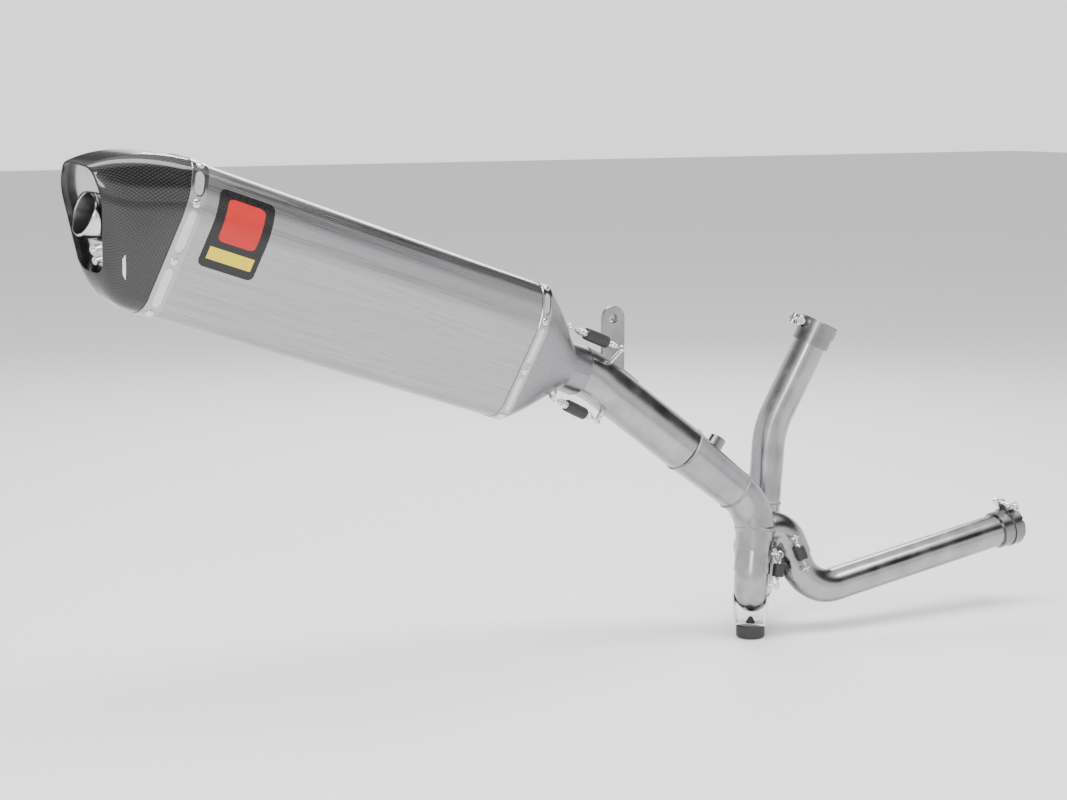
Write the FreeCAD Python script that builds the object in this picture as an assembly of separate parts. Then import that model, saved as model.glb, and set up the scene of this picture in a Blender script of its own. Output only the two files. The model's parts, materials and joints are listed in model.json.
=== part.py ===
import FreeCAD, Part
import math
import os

V = FreeCAD.Vector
os.makedirs("parts", exist_ok=True)

# ---------------------------------------------------------------------------------------------
# Driving dimensions, in mm.  +X is the motorcycle's forward, +Z up, and -Y its right-hand side.
# The origin is the centre of the thread in the hanger plate's weld nut.
# ---------------------------------------------------------------------------------------------
# Silencer
SLEEVE_LENGTH = 422.0        # visible sleeve between the two bands
SLEEVE_WALL = 1.2
SECTION_HEIGHT = 154.0
TOP_HALF_WIDTH = 30.4
MIDDLE_HALF_WIDTH = 47.5
BOTTOM_HALF_WIDTH = 25.6
SHOULDER_DROP = 38.0         # from the top face down to the widest corner
TOP_CORNER_RADIUS = 20.0
SHOULDER_RADIUS = 60.0
BOTTOM_CORNER_RADIUS = 22.0
OUTLET_BAND_WIDTH = 18.5
INLET_BAND_WIDTH = 13.4
BAND_WALL = 1.0
RIVET_HEAD_R = 4.2
RIVET_HEAD_H = 1.9
RIVET_SHANK_R = 2.0
PLATE_WALL = 1.5
CONE_LENGTH = 66.0
CORE_RADIUS = 27.0
CORE_WALL = 1.0
CORE_HOLE_R = 3.5
PACKING_GAP = 0.4
SILENCER_SLOPE = 18.8        # degrees, tail up
SILENCER_TOE = 7.8           # degrees, tail out to the right
SILENCER_ROLL = 5.0          # degrees, near side down

# Outlet
CAP_WALL = 1.6
CAP_TOP_LENGTH = 95.7        # from the band to the top of the mouth
CAP_BOTTOM_LENGTH = 49.0
MOUTH_TOP = 39.7             # the mouth's top and bottom, above and below the axis
MOUTH_BOTTOM = -52.6
BEZEL_WALL = 2.0
BEZEL_SET_BACK = 9.0
INSERT_R = 21.0
MOUTH_SIDE_GAP = 6.4         # from the insert to the mouth's side
MOUTH_HALF_WIDTH = INSERT_R + MOUTH_SIDE_GAP
MOUTH_NEAR_SET_IN = 9.9      # the near side of the mouth is cut back by this, the far side stands out by it
INSERT_STANDS_OUT = 10.3     # from the bezel
INSERT_WALL = 1.5
INSERT_LENGTH = 62.0
OUTLET_Y = 2.0               # how far below the axis the outlet tube sits
INSERT_BOLT_LENGTH = 12.0
INSERT_BOLT_GAP = 0.3        # between the bolt's tip and the insert
SCREW_BELOW_BOLT = 10.4

# Badge
BADGE_START = 14.0
BADGE_LENGTH = 62.0
BADGE_TOP = 62.0
BADGE_BOTTOM = -15.0
BADGE_WALL = 0.5
BADGE_GLUE = 0.03            # the film that it is stuck on with

# Tubes
LINK_R = 27.0
LINK_WALL = 1.2
ELBOW_R = 23.5
HEADER_R = 20.0
HEADER_WALL = 1.2
COLLECTOR_WALL = 1.5
SLIP_CLEARANCE = 0.06
SLIP_DEPTH = 24.0
FRONT_SLIP_DEPTH = 16.0
SOCKET_WALL = 1.5
BEAD_R = 1.4
BOSS_R = 9.5
BOSS_LENGTH = 14.0
BOSS_THREAD_R = 5.4
REAR_HEADER_BOTTOM_BEND = 24.0

# Hanger
HANGER_WIDTH = 29.0
HANGER_WALL = 4.0
HANGER_HOLE_R = 5.25
HANGER_DROP = 58.0
NUT_THREAD_R = 4.25
NUT_LENGTH = 8.0
NUT_FLAT_R = 8.5
SADDLE_WALL = 2.0
SADDLE_HOOK_GAP = 0.3

# Springs and hooks
HOOK_WIRE_R = 1.4
HOOK_BEND_R = 4.6
HOOK_LEG = 6.0
HOOK_ROOT = 16.0             # how far the legs reach back towards the tube they are welded to
# Each silencer spring: degrees round from the top towards the near side, how far its hooks stand back
# from the slip joint and on past the link pipe's corner, and how far their feet stand off the tube.
UPPER_HOOKS = (20.0, 18.0, 8.0, 8.4)
LOWER_HOOKS = (156.0, 11.0, 34.0, 4.0)
LOOP_R = 3.3
LOOP_WIRE_R = 1.0
COIL_R = 4.4
COIL_WALL = 1.6
SPRING_SLEEVE_R = 7.0
SPRING_SLEEVE_GAP = 0.3
SPRING_SLEEVE_SHARE = 0.42   # of the distance between the hooks

# Port collars and clamps
COLLAR_WALL = 2.2
COLLAR_SPIGOT_GAP = 0.5
COLLAR_LENGTH = 30.0
COLLAR_ON_HEADER = 12.0
COLLAR_SLOT = 2.6
COLLAR_SLOT_LENGTH = 12.0
CLAMP_GAP = 0.06
CLAMP_WALL = 1.4
CLAMP_WIDTH = 12.0
CLAMP_SPLIT = 12.0
BARREL_R = 4.0
CLAMP_BOLT_R = 2.5
BOLT_CLEARANCE = 0.08

# Stand stop
STRAP_WALL = 2.0
STRAP_WIDTH = 16.0
STRAP_DROP = 10.0            # from the tube's underside to the plate
BUFFER_R = 17.0
BUFFER_HEIGHT = 15.0

# Centre lines
LINK_WELD = V(87, -26, -155)
TAPER_WELD = V(154, -33, -209)
COLLECTOR_TOP = V(176, -44, -256)
REAR_SOCKET = V(166, -52, -305)
HUMP_START = V(174, -40, -278)
HUMP_CORNER = V(213, -30, -232)
FRONT_SOCKET = V(229, -50, -294)
FRONT_PORT = V(529, -84, -286)
REAR_LOW_CORNER = V(223, 12, -338)
REAR_MID_CORNER = V(248, 28, -152)
REAR_PORT = V(298, 9, -39)
SLIP_FROM_SLEEVE = 83.0      # from the sleeve's front edge to the slip joint's middle
SLIP_POINT = V(-65, -2, -49)


# ---------------------------------------------------------------------------------------------
# Helpers
# ---------------------------------------------------------------------------------------------
def unit(v):
    w = V(v)
    w.normalize()
    return w


def save(name, shape):
    """Writes one node; a group of separate solids stays a compound."""
    solids = shape.Solids
    out = solids[0] if len(solids) == 1 else Part.makeCompound(solids)
    out.exportStep("parts/" + name + ".step")
    print(name, len(solids), round(out.Volume, 1), out.isValid())


def route(points, radii):
    """A wire of straight runs joined by tangent arcs; radii holds one value for each inner point."""
    edges = []
    start = points[0]
    for here, after, before, radius in zip(points[1:-1], points[2:], points[:-2], radii):
        back, on = unit(before - here), unit(after - here)
        half = back.getAngle(on) / 2
        cut = radius / math.tan(half)
        a, b = here + back * cut, here + on * cut
        middle = here + unit(back + on) * (radius / math.sin(half) - radius)
        edges.append(Part.makeLine(start, a))
        edges.append(Part.Arc(a, middle, b).toShape())
        start = b
    edges.append(Part.makeLine(start, points[-1]))
    return Part.Wire(edges)


def rod(points, radii, r):
    """A round bar along a route."""
    path = route(points, radii) if radii else Part.Wire(Part.makeLine(points[0], points[-1]))
    circle = Part.Wire(Part.makeCircle(r, points[0], points[1] - points[0]))
    return path.makePipeShell([circle], True, False)


def pipe(points, radii, r, wall):
    return rod(points, radii, r).cut(rod(points, radii, r - wall))


def bar(a, b, r):
    return Part.makeCylinder(r, (b - a).Length, a, b - a)


def ring(centre, axis, r, wire_r):
    return Part.makeTorus(r, wire_r, centre, axis)


def tube(a, b, r, wall):
    return bar(a, b, r).cut(bar(a, b, r - wall))


def across(axis):
    """A unit vector at right angles to axis, as level as it can be."""
    side = axis.cross(V(0, 0, 1))
    return unit(side if side.Length > 0.1 else axis.cross(V(0, 1, 0)))


# ---------------------------------------------------------------------------------------------
# Silencer, built along +Z with +X up and +Y towards its near side, then placed
# ---------------------------------------------------------------------------------------------
def silencer_placement():
    slope, toe = math.radians(SILENCER_SLOPE), math.radians(SILENCER_TOE)
    axis = V(math.cos(slope) * math.cos(toe), math.cos(slope) * math.sin(toe), -math.sin(slope))
    near = unit(V(0, 0, 1).cross(axis) * -1)
    up = near.cross(axis)
    roll = math.radians(SILENCER_ROLL)
    near_r = near * math.cos(roll) - up * math.sin(roll)
    up_r = up * math.cos(roll) + near * math.sin(roll)
    base = SLIP_POINT - axis * (SLEEVE_LENGTH + SLIP_FROM_SLEEVE)
    m = FreeCAD.Matrix(up_r.x, near_r.x, axis.x, base.x, up_r.y, near_r.y, axis.y, base.y,
                       up_r.z, near_r.z, axis.z, base.z, 0, 0, 0, 1)
    return FreeCAD.Placement(m), axis, up_r, near_r


PLACE, AXIS, UP, NEAR = silencer_placement()


def placed(shape):
    out = shape.copy()
    out.Placement = PLACE.multiply(out.Placement)
    return out


def corners():
    top, shoulder, low = SECTION_HEIGHT / 2, SECTION_HEIGHT / 2 - SHOULDER_DROP, -SECTION_HEIGHT / 2
    right = [(top, TOP_HALF_WIDTH), (shoulder, MIDDLE_HALF_WIDTH), (low, BOTTOM_HALF_WIDTH)]
    left = [(x, -y) for x, y in reversed(right)]
    return right + left


def corner_facts():
    """For each rounded corner: arc start, arc middle, arc end and the outward direction."""
    pts = [V(x, y, 0) for x, y in corners()]
    radii = [TOP_CORNER_RADIUS, SHOULDER_RADIUS, BOTTOM_CORNER_RADIUS]
    radii = radii + radii[::-1]
    facts = []
    for i, (here, radius) in enumerate(zip(pts, radii)):
        back, on = unit(pts[i - 1] - here), unit(pts[(i + 1) % len(pts)] - here)
        half = back.getAngle(on) / 2
        cut = radius / math.tan(half)
        inward = unit(back + on)
        centre = here + inward * (radius / math.sin(half))
        facts.append((here + back * cut, centre - inward * radius, here + on * cut, inward * -1))
    return facts


def section_wire(z=0.0, grow=0.0):
    """The rounded six-sided outline at height z, grown outwards by grow."""
    edges = []
    facts = corner_facts()
    for i, (a, m, b, _) in enumerate(facts):
        edges.append(Part.Arc(a, m, b).toShape())
        edges.append(Part.makeLine(b, facts[(i + 1) % len(facts)][0]))
    wire = Part.Wire(edges)
    if grow:
        wire = wire.makeOffset2D(grow)
    wire.translate(V(0, 0, z))
    return wire


def section_solid(z0, z1, grow=0.0):
    return Part.Face(section_wire(z0, grow)).extrude(V(0, 0, z1 - z0))


def section_shell(z0, z1, outer, wall):
    return section_solid(z0, z1, outer).cut(section_solid(z0 - 1, z1 + 1, outer - wall))


def rivet_places():
    """Eight stations round the section: each corner, and the middle of each long lower face."""
    facts = corner_facts()
    places = [(m, out) for _, m, _, out in facts]
    for i in (1, 3):
        a, b = facts[i][2], facts[(i + 1) % 6][0]
        along = unit(b - a)
        places.append(((a + b) * 0.5, V(along.y, -along.x, 0)))
    return [(p, n if n.dot(p) > 0 else n * -1) for p, n in places]


def rivets(z):
    out = []
    sink = SLEEVE_WALL + PLATE_WALL
    for p, n in rivet_places():
        foot = V(p.x, p.y, z) + n * BAND_WALL
        ball_r = (RIVET_HEAD_R ** 2 + RIVET_HEAD_H ** 2) / (2 * RIVET_HEAD_H)
        ball = Part.makeSphere(ball_r, foot + n * (RIVET_HEAD_H - ball_r))
        head = ball.common(Part.makeCylinder(RIVET_HEAD_R, RIVET_HEAD_H + 1, foot, n))
        shank = Part.makeCylinder(RIVET_SHANK_R, BAND_WALL + sink, foot - n * (BAND_WALL + sink), n)
        out.append(head.fuse(shank).removeSplitter())
    return out


def rivet_holes(z):
    return Part.makeCompound([
        Part.makeCylinder(RIVET_SHANK_R, 12, V(p.x, p.y, z) - n * 8, n) for p, n in rivet_places()])


OUTLET_RIVET_Z = -OUTLET_BAND_WIDTH / 2
INLET_RIVET_Z = SLEEVE_LENGTH + INLET_BAND_WIDTH / 2
SLEEVE_START = -OUTLET_BAND_WIDTH
SLEEVE_END = SLEEVE_LENGTH + INLET_BAND_WIDTH
CONE_END = SLEEVE_END + CONE_LENGTH
PLATE_Z = SLEEVE_START + 4.0


def make_sleeve():
    body = section_shell(SLEEVE_START, SLEEVE_END, 0, SLEEVE_WALL)
    save("muffler_sleeve", placed(body.cut(rivet_holes(OUTLET_RIVET_Z)).cut(rivet_holes(INLET_RIVET_Z))))
    for name, z0, z1, rivet_z in (("outlet_band", SLEEVE_START, 0.0, OUTLET_RIVET_Z),
                                  ("inlet_band", SLEEVE_LENGTH, SLEEVE_END, INLET_RIVET_Z)):
        band = section_shell(z0, z1, BAND_WALL, BAND_WALL).cut(rivet_holes(rivet_z))
        save(name, placed(band))
        save(name + "_rivets", placed(Part.makeCompound(rivets(rivet_z))))


def make_end_plate():
    """A dished plate: its rim is riveted under the sleeve, and its face carries the core and the outlet."""
    rim = section_shell(SLEEVE_START + 0.5, -1.0, -SLEEVE_WALL, PLATE_WALL)
    face = section_solid(PLATE_Z, PLATE_Z + PLATE_WALL, -SLEEVE_WALL)
    hole = Part.makeCylinder(CORE_RADIUS, 60, V(0, 0, PLATE_Z - 30))
    save("outlet_end_plate", placed(rim.fuse(face).cut(hole).removeSplitter().cut(rivet_holes(OUTLET_RIVET_Z))))


def circle_like_section(z, r, sharp=0.0):
    """A round wire in the same twelve pieces as the section, so that a loft between them stays even."""
    facts = corner_facts()
    angles = [math.atan2(p.y, p.x) for a, _, b, _ in facts for p in (a, b)]
    total = len(angles)
    for i in range(1, total):
        while angles[i] < angles[i - 1]:
            angles[i] += 2 * math.pi
    edges = []
    for i in range(total):
        t0 = angles[i]
        t1 = angles[i + 1] if i + 1 < total else angles[0] + 2 * math.pi
        pts = [V(r * math.cos(t), r * math.sin(t), z) for t in (t0, (t0 + t1) / 2, t1)]
        edges.append(Part.Arc(*pts).toShape())
    return Part.Wire(edges)


def make_inlet():
    """The domed inlet cone, its riveted rim, and the socket that takes the link pipe."""
    socket_r = LINK_R + SLIP_CLEARANCE + SOCKET_WALL
    rim = section_shell(SLEEVE_LENGTH + 1.0, SLEEVE_END, -SLEEVE_WALL, PLATE_WALL)
    rim = rim.cut(rivet_holes(INLET_RIVET_Z))

    def dome(wall):
        steps = [section_wire(SLEEVE_END, -SLEEVE_WALL - wall)]
        cone = Part.makeLoft(steps + [circle_like_section(CONE_END, socket_r - wall)], True, True)
        return cone
    shell = dome(0.0).cut(dome(PLATE_WALL))
    save("inlet_cone", placed(shell.fuse(rim).removeSplitter()))
    top = PLACE.multVec(V(0, 0, CONE_END))
    lip = PLACE.multVec(V(0, 0, CONE_END + SLIP_DEPTH + 2))
    save("inlet_tube", tube(top, lip, socket_r, SOCKET_WALL))


def make_core():
    """The perforated core, from the cone's neck to the end plate, and the packing round it."""
    z0, z1 = PLATE_Z, SLEEVE_END + 2.0
    core = Part.makeCylinder(CORE_RADIUS - PACKING_GAP, z1 - z0, V(0, 0, z0)).cut(
        Part.makeCylinder(CORE_RADIUS - CORE_WALL - PACKING_GAP, z1 - z0, V(0, 0, z0)))
    pins = []
    rows, around = 7, 4
    for i in range(rows):
        z = SLEEVE_LENGTH * (i + 1) / (rows + 1)
        for k in range(around):
            turn = math.pi * (k + 0.5 * (i % 2)) / around
            d = V(math.cos(turn), math.sin(turn), 0)
            pins.append(Part.makeCylinder(CORE_HOLE_R, 2 * CORE_RADIUS + 4, V(0, 0, z) - d * (CORE_RADIUS + 2), d))
    save("perforated_core", placed(core.cut(Part.makeCompound(pins))))
    start, end = 1.0, SLEEVE_LENGTH - 1.0
    pack = section_solid(start, end, -SLEEVE_WALL - PACKING_GAP)
    save("acoustic_packing", placed(pack.cut(Part.makeCylinder(CORE_RADIUS, end - start + 4, V(0, 0, start - 2)))))


# The mouth's plane runs from the long top edge to the short bottom edge.
MOUTH_TOP_POINT = V(MOUTH_TOP, 0, SLEEVE_START - CAP_TOP_LENGTH)
MOUTH_BOTTOM_POINT = V(MOUTH_BOTTOM, 0, SLEEVE_START - CAP_BOTTOM_LENGTH)
MOUTH_UP = unit(MOUTH_TOP_POINT - MOUTH_BOTTOM_POINT)
MOUTH_CENTRE = (MOUTH_TOP_POINT + MOUTH_BOTTOM_POINT) * 0.5
MOUTH_SIDE = V(0, 1, MOUTH_NEAR_SET_IN / MOUTH_HALF_WIDTH)
MOUTH_OUT = unit(MOUTH_SIDE.cross(MOUTH_UP))
if MOUTH_OUT.z > 0:
    MOUTH_OUT = MOUTH_OUT * -1


def outline_points():
    """Where the rounded section's arcs start, bend and end, in order."""
    return [p for a, m, b, _ in corner_facts() for p in (a, m, b)]


def smooth_wire(points):
    curve = Part.BSplineCurve()
    curve.interpolate(Points=points, PeriodicFlag=True)
    return Part.Wire(curve.toShape())


def cap_sections(grow):
    """Three smooth outlines: the root, a waist, and the slanted mouth."""
    top, low = SECTION_HEIGHT / 2, -SECTION_HEIGHT / 2
    root, waist, mouth = [], [], []
    half_mouth = (MOUTH_TOP_POINT - MOUTH_BOTTOM_POINT).Length / 2
    for p in outline_points():
        n = unit(V(p.x, p.y, 0))
        q = p + n * grow
        root.append(V(q.x, q.y, SLEEVE_START))
        share = (p.x - low) / (top - low)
        m = MOUTH_CENTRE + MOUTH_UP * ((2 * share - 1) * (half_mouth + grow))
        m = m + MOUTH_SIDE * (p.y / MIDDLE_HALF_WIDTH * (MOUTH_HALF_WIDTH + grow))
        mouth.append(m)
        mid = (root[-1] * 0.42 + m * 0.58) + V(n.x * 9.0, n.y * 8.0, 0)
        waist.append(mid)
    return [smooth_wire(points) for points in (root, waist, mouth)]


def make_cap():
    outer = Part.makeLoft(cap_sections(0.0), True, False)
    inner = Part.makeLoft(cap_sections(-CAP_WALL), True, False)
    grown = inner.fuse(Part.Face(cap_sections(-CAP_WALL)[2]).extrude(MOUTH_OUT * 3))
    shell = outer.cut(grown)
    save("carbon_end_cap", placed(shell))
    return inner


def make_outlet(inner):
    """The bezel lies inside the mouth, set back from the rim, and carries the insert and its bolt."""
    insert_axis_x = -OUTLET_Y
    back = MOUTH_CENTRE - MOUTH_OUT * BEZEL_SET_BACK
    size = 200.0
    slab = Part.makeBox(size, size, BEZEL_WALL, V(-size / 2, -size / 2, 0))
    slab.Placement = FreeCAD.Placement(back, FreeCAD.Rotation(V(0, 0, 1), MOUTH_OUT * -1))
    bore = Part.makeCylinder(INSERT_R + SLIP_CLEARANCE, 200, V(insert_axis_x, 0, -200))
    plate = slab.common(inner)
    shank_reach = CLAMP_BOLT_R * math.sqrt(1 - MOUTH_OUT.x ** 2)
    tip_x = back.x - MOUTH_OUT.x * INSERT_BOLT_LENGTH + shank_reach
    bolt_below = (tip_x - insert_axis_x + INSERT_R + INSERT_BOLT_GAP) / MOUTH_UP.x
    bolt_spot = back - MOUTH_UP * bolt_below
    screw_spot = bolt_spot - MOUTH_UP * SCREW_BELOW_BOLT
    bolt_hole = Part.makeCylinder(CLAMP_BOLT_R + BOLT_CLEARANCE, 30, bolt_spot - MOUTH_OUT * 15, MOUTH_OUT)
    screw_hole = Part.makeCylinder(2.0, 30, screw_spot - MOUTH_OUT * 15, MOUTH_OUT)
    save("outlet_bezel", placed(plate.cut(bore).cut(bolt_hole).cut(screw_hole)))
    z_mouth = back.z - INSERT_STANDS_OUT
    insert = Part.makeCylinder(INSERT_R, INSERT_LENGTH, V(insert_axis_x, 0, z_mouth)).cut(
        Part.makeCylinder(INSERT_R - INSERT_WALL, INSERT_LENGTH, V(insert_axis_x, 0, z_mouth)))
    save("noise_insert", placed(insert))
    for name, spot, r, head_r in (("insert_bolt", bolt_spot, CLAMP_BOLT_R, 5.0),
                                  ("bezel_screw", screw_spot, 2.0, 3.6)):
        face = spot
        screw = Part.makeCylinder(r, INSERT_BOLT_LENGTH, face - MOUTH_OUT * INSERT_BOLT_LENGTH, MOUTH_OUT)
        head = Part.makeCylinder(head_r, 3.5, face, MOUTH_OUT)
        key = Part.makeCylinder(head_r * 0.5, 2.0, face + MOUTH_OUT * 1.5, MOUTH_OUT)
        save(name, placed(screw.fuse(head).cut(key)))
    return bolt_spot


def make_badge():
    skin = section_shell(BADGE_START, BADGE_START + BADGE_LENGTH, BADGE_WALL + BADGE_GLUE, BADGE_WALL)
    window = Part.makeBox(BADGE_TOP - BADGE_BOTTOM, 100, BADGE_LENGTH, V(BADGE_BOTTOM, 5, BADGE_START))
    long_edges = [e for e in window.Edges
                  if abs(e.Vertexes[0].X - e.Vertexes[-1].X) < 1e-6 and abs(e.Vertexes[0].Z - e.Vertexes[-1].Z) < 1e-6]
    save("badge_plate", placed(skin.common(window.makeFillet(7.0, long_edges))))


# ---------------------------------------------------------------------------------------------
# Link pipe, elbow and collector
# ---------------------------------------------------------------------------------------------
LINK_START = SLIP_POINT - AXIS * 2.0
LINK_CORNER = SLIP_POINT + AXIS * 43.0
TAPER_DIR = unit(TAPER_WELD - LINK_WELD)
ELBOW_CORNER = TAPER_WELD + TAPER_DIR * 26.0
ELBOW_OUT = unit(COLLECTOR_TOP - ELBOW_CORNER)
LEG_DIR = unit(REAR_SOCKET - COLLECTOR_TOP)
HUMP_OUT = unit(FRONT_SOCKET - HUMP_CORNER)
LINK_RADII = [95.0]
ELBOW_RADII = [48.0]
HUMP_RADII = [25.0]
SOCKET_R = HEADER_R + SLIP_CLEARANCE + SOCKET_WALL


def link_points():
    return [LINK_START, LINK_CORNER, LINK_WELD]


def link_solid():
    return rod(link_points(), LINK_RADII, LINK_R)


def taper_solid():
    return Part.makeCone(LINK_R, ELBOW_R, (TAPER_WELD - LINK_WELD).Length, LINK_WELD, TAPER_DIR)


def make_link():
    save("link_pipe", pipe(link_points(), LINK_RADII, LINK_R, LINK_WALL))
    length = (TAPER_WELD - LINK_WELD).Length
    direction = unit(TAPER_WELD - LINK_WELD)
    outer = taper_solid()
    inner = Part.makeCone(LINK_R - LINK_WALL, ELBOW_R - LINK_WALL, length, LINK_WELD, direction)
    boss_at = LINK_WELD + direction * (length * 0.36)
    out = unit(UP * 0.9 + NEAR * -0.15 - direction * UP.dot(direction))
    out = unit(out - direction * out.dot(direction))
    r_here = LINK_R + (ELBOW_R - LINK_R) * 0.36
    boss_top = boss_at + out * (r_here + BOSS_LENGTH - 3.0)
    hole = bar(boss_at, boss_top, BOSS_THREAD_R)
    save("taper_pipe", outer.cut(inner).cut(hole).cut(link_solid()))
    boss = bar(boss_at, boss_top, BOSS_R).cut(outer).cut(hole)
    save("sensor_boss", max(boss.Solids, key=lambda s: s.Volume))
    print("sensor boss mouth", boss_top, "axis", out)
    elbow = [TAPER_WELD, ELBOW_CORNER, COLLECTOR_TOP]
    save("elbow", pipe(elbow, ELBOW_RADII, ELBOW_R, LINK_WALL))
    return boss_top


def collector_solid(inset):
    mid = COLLECTOR_TOP + LEG_DIR * 26.0
    leg = Part.makeCone(ELBOW_R - inset, SOCKET_R - inset, 26.0, COLLECTOR_TOP, LEG_DIR)
    leg = leg.fuse(bar(mid, REAR_SOCKET, SOCKET_R - inset))
    hump = rod([HUMP_START, HUMP_CORNER, FRONT_SOCKET], HUMP_RADII, SOCKET_R - inset)
    return leg.fuse(hump).fuse(Part.makeSphere(SOCKET_R - inset, HUMP_START))


def make_collector():
    outer = collector_solid(0).cut(rod([TAPER_WELD, ELBOW_CORNER, COLLECTOR_TOP], ELBOW_RADII, ELBOW_R))
    body = outer.cut(collector_solid(SOCKET_WALL))
    save("collector", max(body.Solids, key=lambda s: s.Volume))


def bead(name, centre, axis, r, extra=None):
    """A weld bead round a tube; extra is a second solid that it must not enter."""
    shape = ring(centre, axis, r, BEAD_R).cut(bar(centre - axis * 4, centre + axis * 4, r))
    save(name, shape.cut(extra) if extra else shape)


def make_beads():
    bead("weld_bead_link", LINK_WELD, TAPER_DIR, LINK_R + 0.02, link_solid())
    bead("weld_bead_taper", TAPER_WELD, TAPER_DIR, ELBOW_R + 0.02, taper_solid())


# ---------------------------------------------------------------------------------------------
# Headers
# ---------------------------------------------------------------------------------------------
FRONT_CORNER = FRONT_SOCKET + HUMP_OUT * 46.0
FRONT_POINTS = [FRONT_SOCKET - HUMP_OUT * FRONT_SLIP_DEPTH, FRONT_CORNER, FRONT_PORT]
FRONT_RADII = [42.0]
REAR_BOTTOM_CORNER = REAR_SOCKET + LEG_DIR * 33.0
REAR_POINTS = [REAR_SOCKET - LEG_DIR * (SLIP_DEPTH - 4), REAR_BOTTOM_CORNER, REAR_LOW_CORNER, REAR_MID_CORNER,
               REAR_PORT]
REAR_RADII = [REAR_HEADER_BOTTOM_BEND, 40.0, 130.0]
FRONT_PORT_DIR = unit(FRONT_PORT - FRONT_CORNER)
REAR_PORT_DIR = unit(REAR_PORT - REAR_MID_CORNER)


def make_headers():
    save("front_header", pipe(FRONT_POINTS, FRONT_RADII, HEADER_R, HEADER_WALL))
    save("rear_header", pipe(REAR_POINTS, REAR_RADII, HEADER_R, HEADER_WALL))
    up = unit(REAR_MID_CORNER - REAR_LOW_CORNER)
    bead("rear_header_bead", REAR_LOW_CORNER + up * 98.0, up, HEADER_R + 0.02)


def make_port(name, port, direction):
    """A slotted collar welded over the header's end, and the band clamp that closes it on the port spigot."""
    start = port - direction * COLLAR_ON_HEADER
    end = start + direction * COLLAR_LENGTH
    collar = tube(start, end, HEADER_R + COLLAR_SPIGOT_GAP + COLLAR_WALL, COLLAR_WALL)
    collar = collar.fuse(tube(start, port, HEADER_R + COLLAR_SPIGOT_GAP + 0.01, COLLAR_SPIGOT_GAP + 0.01))
    side = across(direction)
    for k in range(3):
        cut = Part.makeBox(COLLAR_SLOT, 80, COLLAR_SLOT_LENGTH + 5, V(-COLLAR_SLOT / 2, -40, -COLLAR_SLOT_LENGTH))
        turn = FreeCAD.Rotation(V(0, 0, 1), 60.0 * k + 30.0)
        cut.Placement = FreeCAD.Placement(end, FreeCAD.Rotation(V(0, 0, 1), direction).multiply(turn))
        collar = collar.cut(cut)
    save(name + "_port_collar", collar.removeSplitter())
    # band clamp
    r_in = HEADER_R + COLLAR_SPIGOT_GAP + COLLAR_WALL + CLAMP_GAP
    a = end - direction * (CLAMP_WIDTH + 3.0)
    b = a + direction * CLAMP_WIDTH
    up = unit(side.cross(direction))
    if up.z < 0:
        up = up * -1
    tangent = unit(direction.cross(up))
    band = tube(a, b, r_in + CLAMP_WALL, CLAMP_WALL)
    middle = (a + b) * 0.5
    gap = Part.makeBox(CLAMP_SPLIT, 60, CLAMP_WIDTH + 10, V(-CLAMP_SPLIT / 2, 0, -CLAMP_WIDTH / 2 - 5))
    frame = FreeCAD.Placement(FreeCAD.Matrix(tangent.x, up.x, tangent.cross(up).x, middle.x,
                                             tangent.y, up.y, tangent.cross(up).y, middle.y,
                                             tangent.z, up.z, tangent.cross(up).z, middle.z, 0, 0, 0, 1))
    gap.Placement = frame
    band = band.cut(gap)
    lift = r_in + CLAMP_WALL + BARREL_R
    bolt_at = middle + up * (lift + 0.2)
    for sign in (-1, 1):
        ear = Part.makeBox(2.0, BARREL_R + 3.0, CLAMP_WIDTH, V(sign * (CLAMP_SPLIT / 2 + 1.0) - 1.0,
                           r_in - 1.0, -CLAMP_WIDTH / 2))
        ear.Placement = frame
        core = bar(a, b, r_in)
        band = band.fuse(ear.cut(core))
    bolt_bore = bar(bolt_at - tangent * 40, bolt_at + tangent * 40, CLAMP_BOLT_R + BOLT_CLEARANCE)
    barrels = []
    for sign in (-1, 1):
        c = bolt_at + tangent * (sign * (CLAMP_SPLIT / 2 + 2.0 + BARREL_R))
        barrels.append(bar(c - direction * 6, c + direction * 6, BARREL_R).cut(bolt_bore))
    band = band.cut(bolt_bore)
    for barrel in barrels:
        band = band.cut(barrel)
    save(name + "_clamp_band", band.removeSplitter())
    save(name + "_clamp_barrels", Part.makeCompound(barrels))
    reach = CLAMP_SPLIT / 2 + 2.0 + 2 * BARREL_R
    bolt = bar(bolt_at - tangent * (reach + 6), bolt_at + tangent * reach, CLAMP_BOLT_R)
    head = bar(bolt_at + tangent * (reach + 0.1), bolt_at + tangent * (reach + 5), 4.3)
    socket = bar(bolt_at + tangent * (reach + 2), bolt_at + tangent * (reach + 5), 2.2)
    save(name + "_clamp_bolt", bolt.fuse(bar(bolt_at, bolt_at + tangent * (reach + 1), CLAMP_BOLT_R)).fuse(head)
         .cut(socket))
    nut = bar(bolt_at - tangent * (reach + 4.6), bolt_at - tangent * (reach + 0.1), 4.6).cut(bolt_bore)
    save(name + "_clamp_nut", nut)
    print(name, "collar end", end, "dir", direction, "bolt", bolt_at, "tangent", tangent, "clamp centre", middle)


# ---------------------------------------------------------------------------------------------
# Hanger
# ---------------------------------------------------------------------------------------------
def link_hook_place(hooks):
    """Where a spring hook stands on the link pipe: its foot, the way out and the way along its crown."""
    turn, _, past_corner, stand_off = hooks
    link_dir = unit(LINK_WELD - LINK_CORNER)
    out = UP * math.cos(math.radians(turn)) + NEAR * math.sin(math.radians(turn))
    out = unit(out - link_dir * out.dot(link_dir))
    foot = LINK_CORNER + link_dir * past_corner + out * (LINK_R + stand_off)
    return foot, out, unit(link_dir.cross(out))


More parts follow.
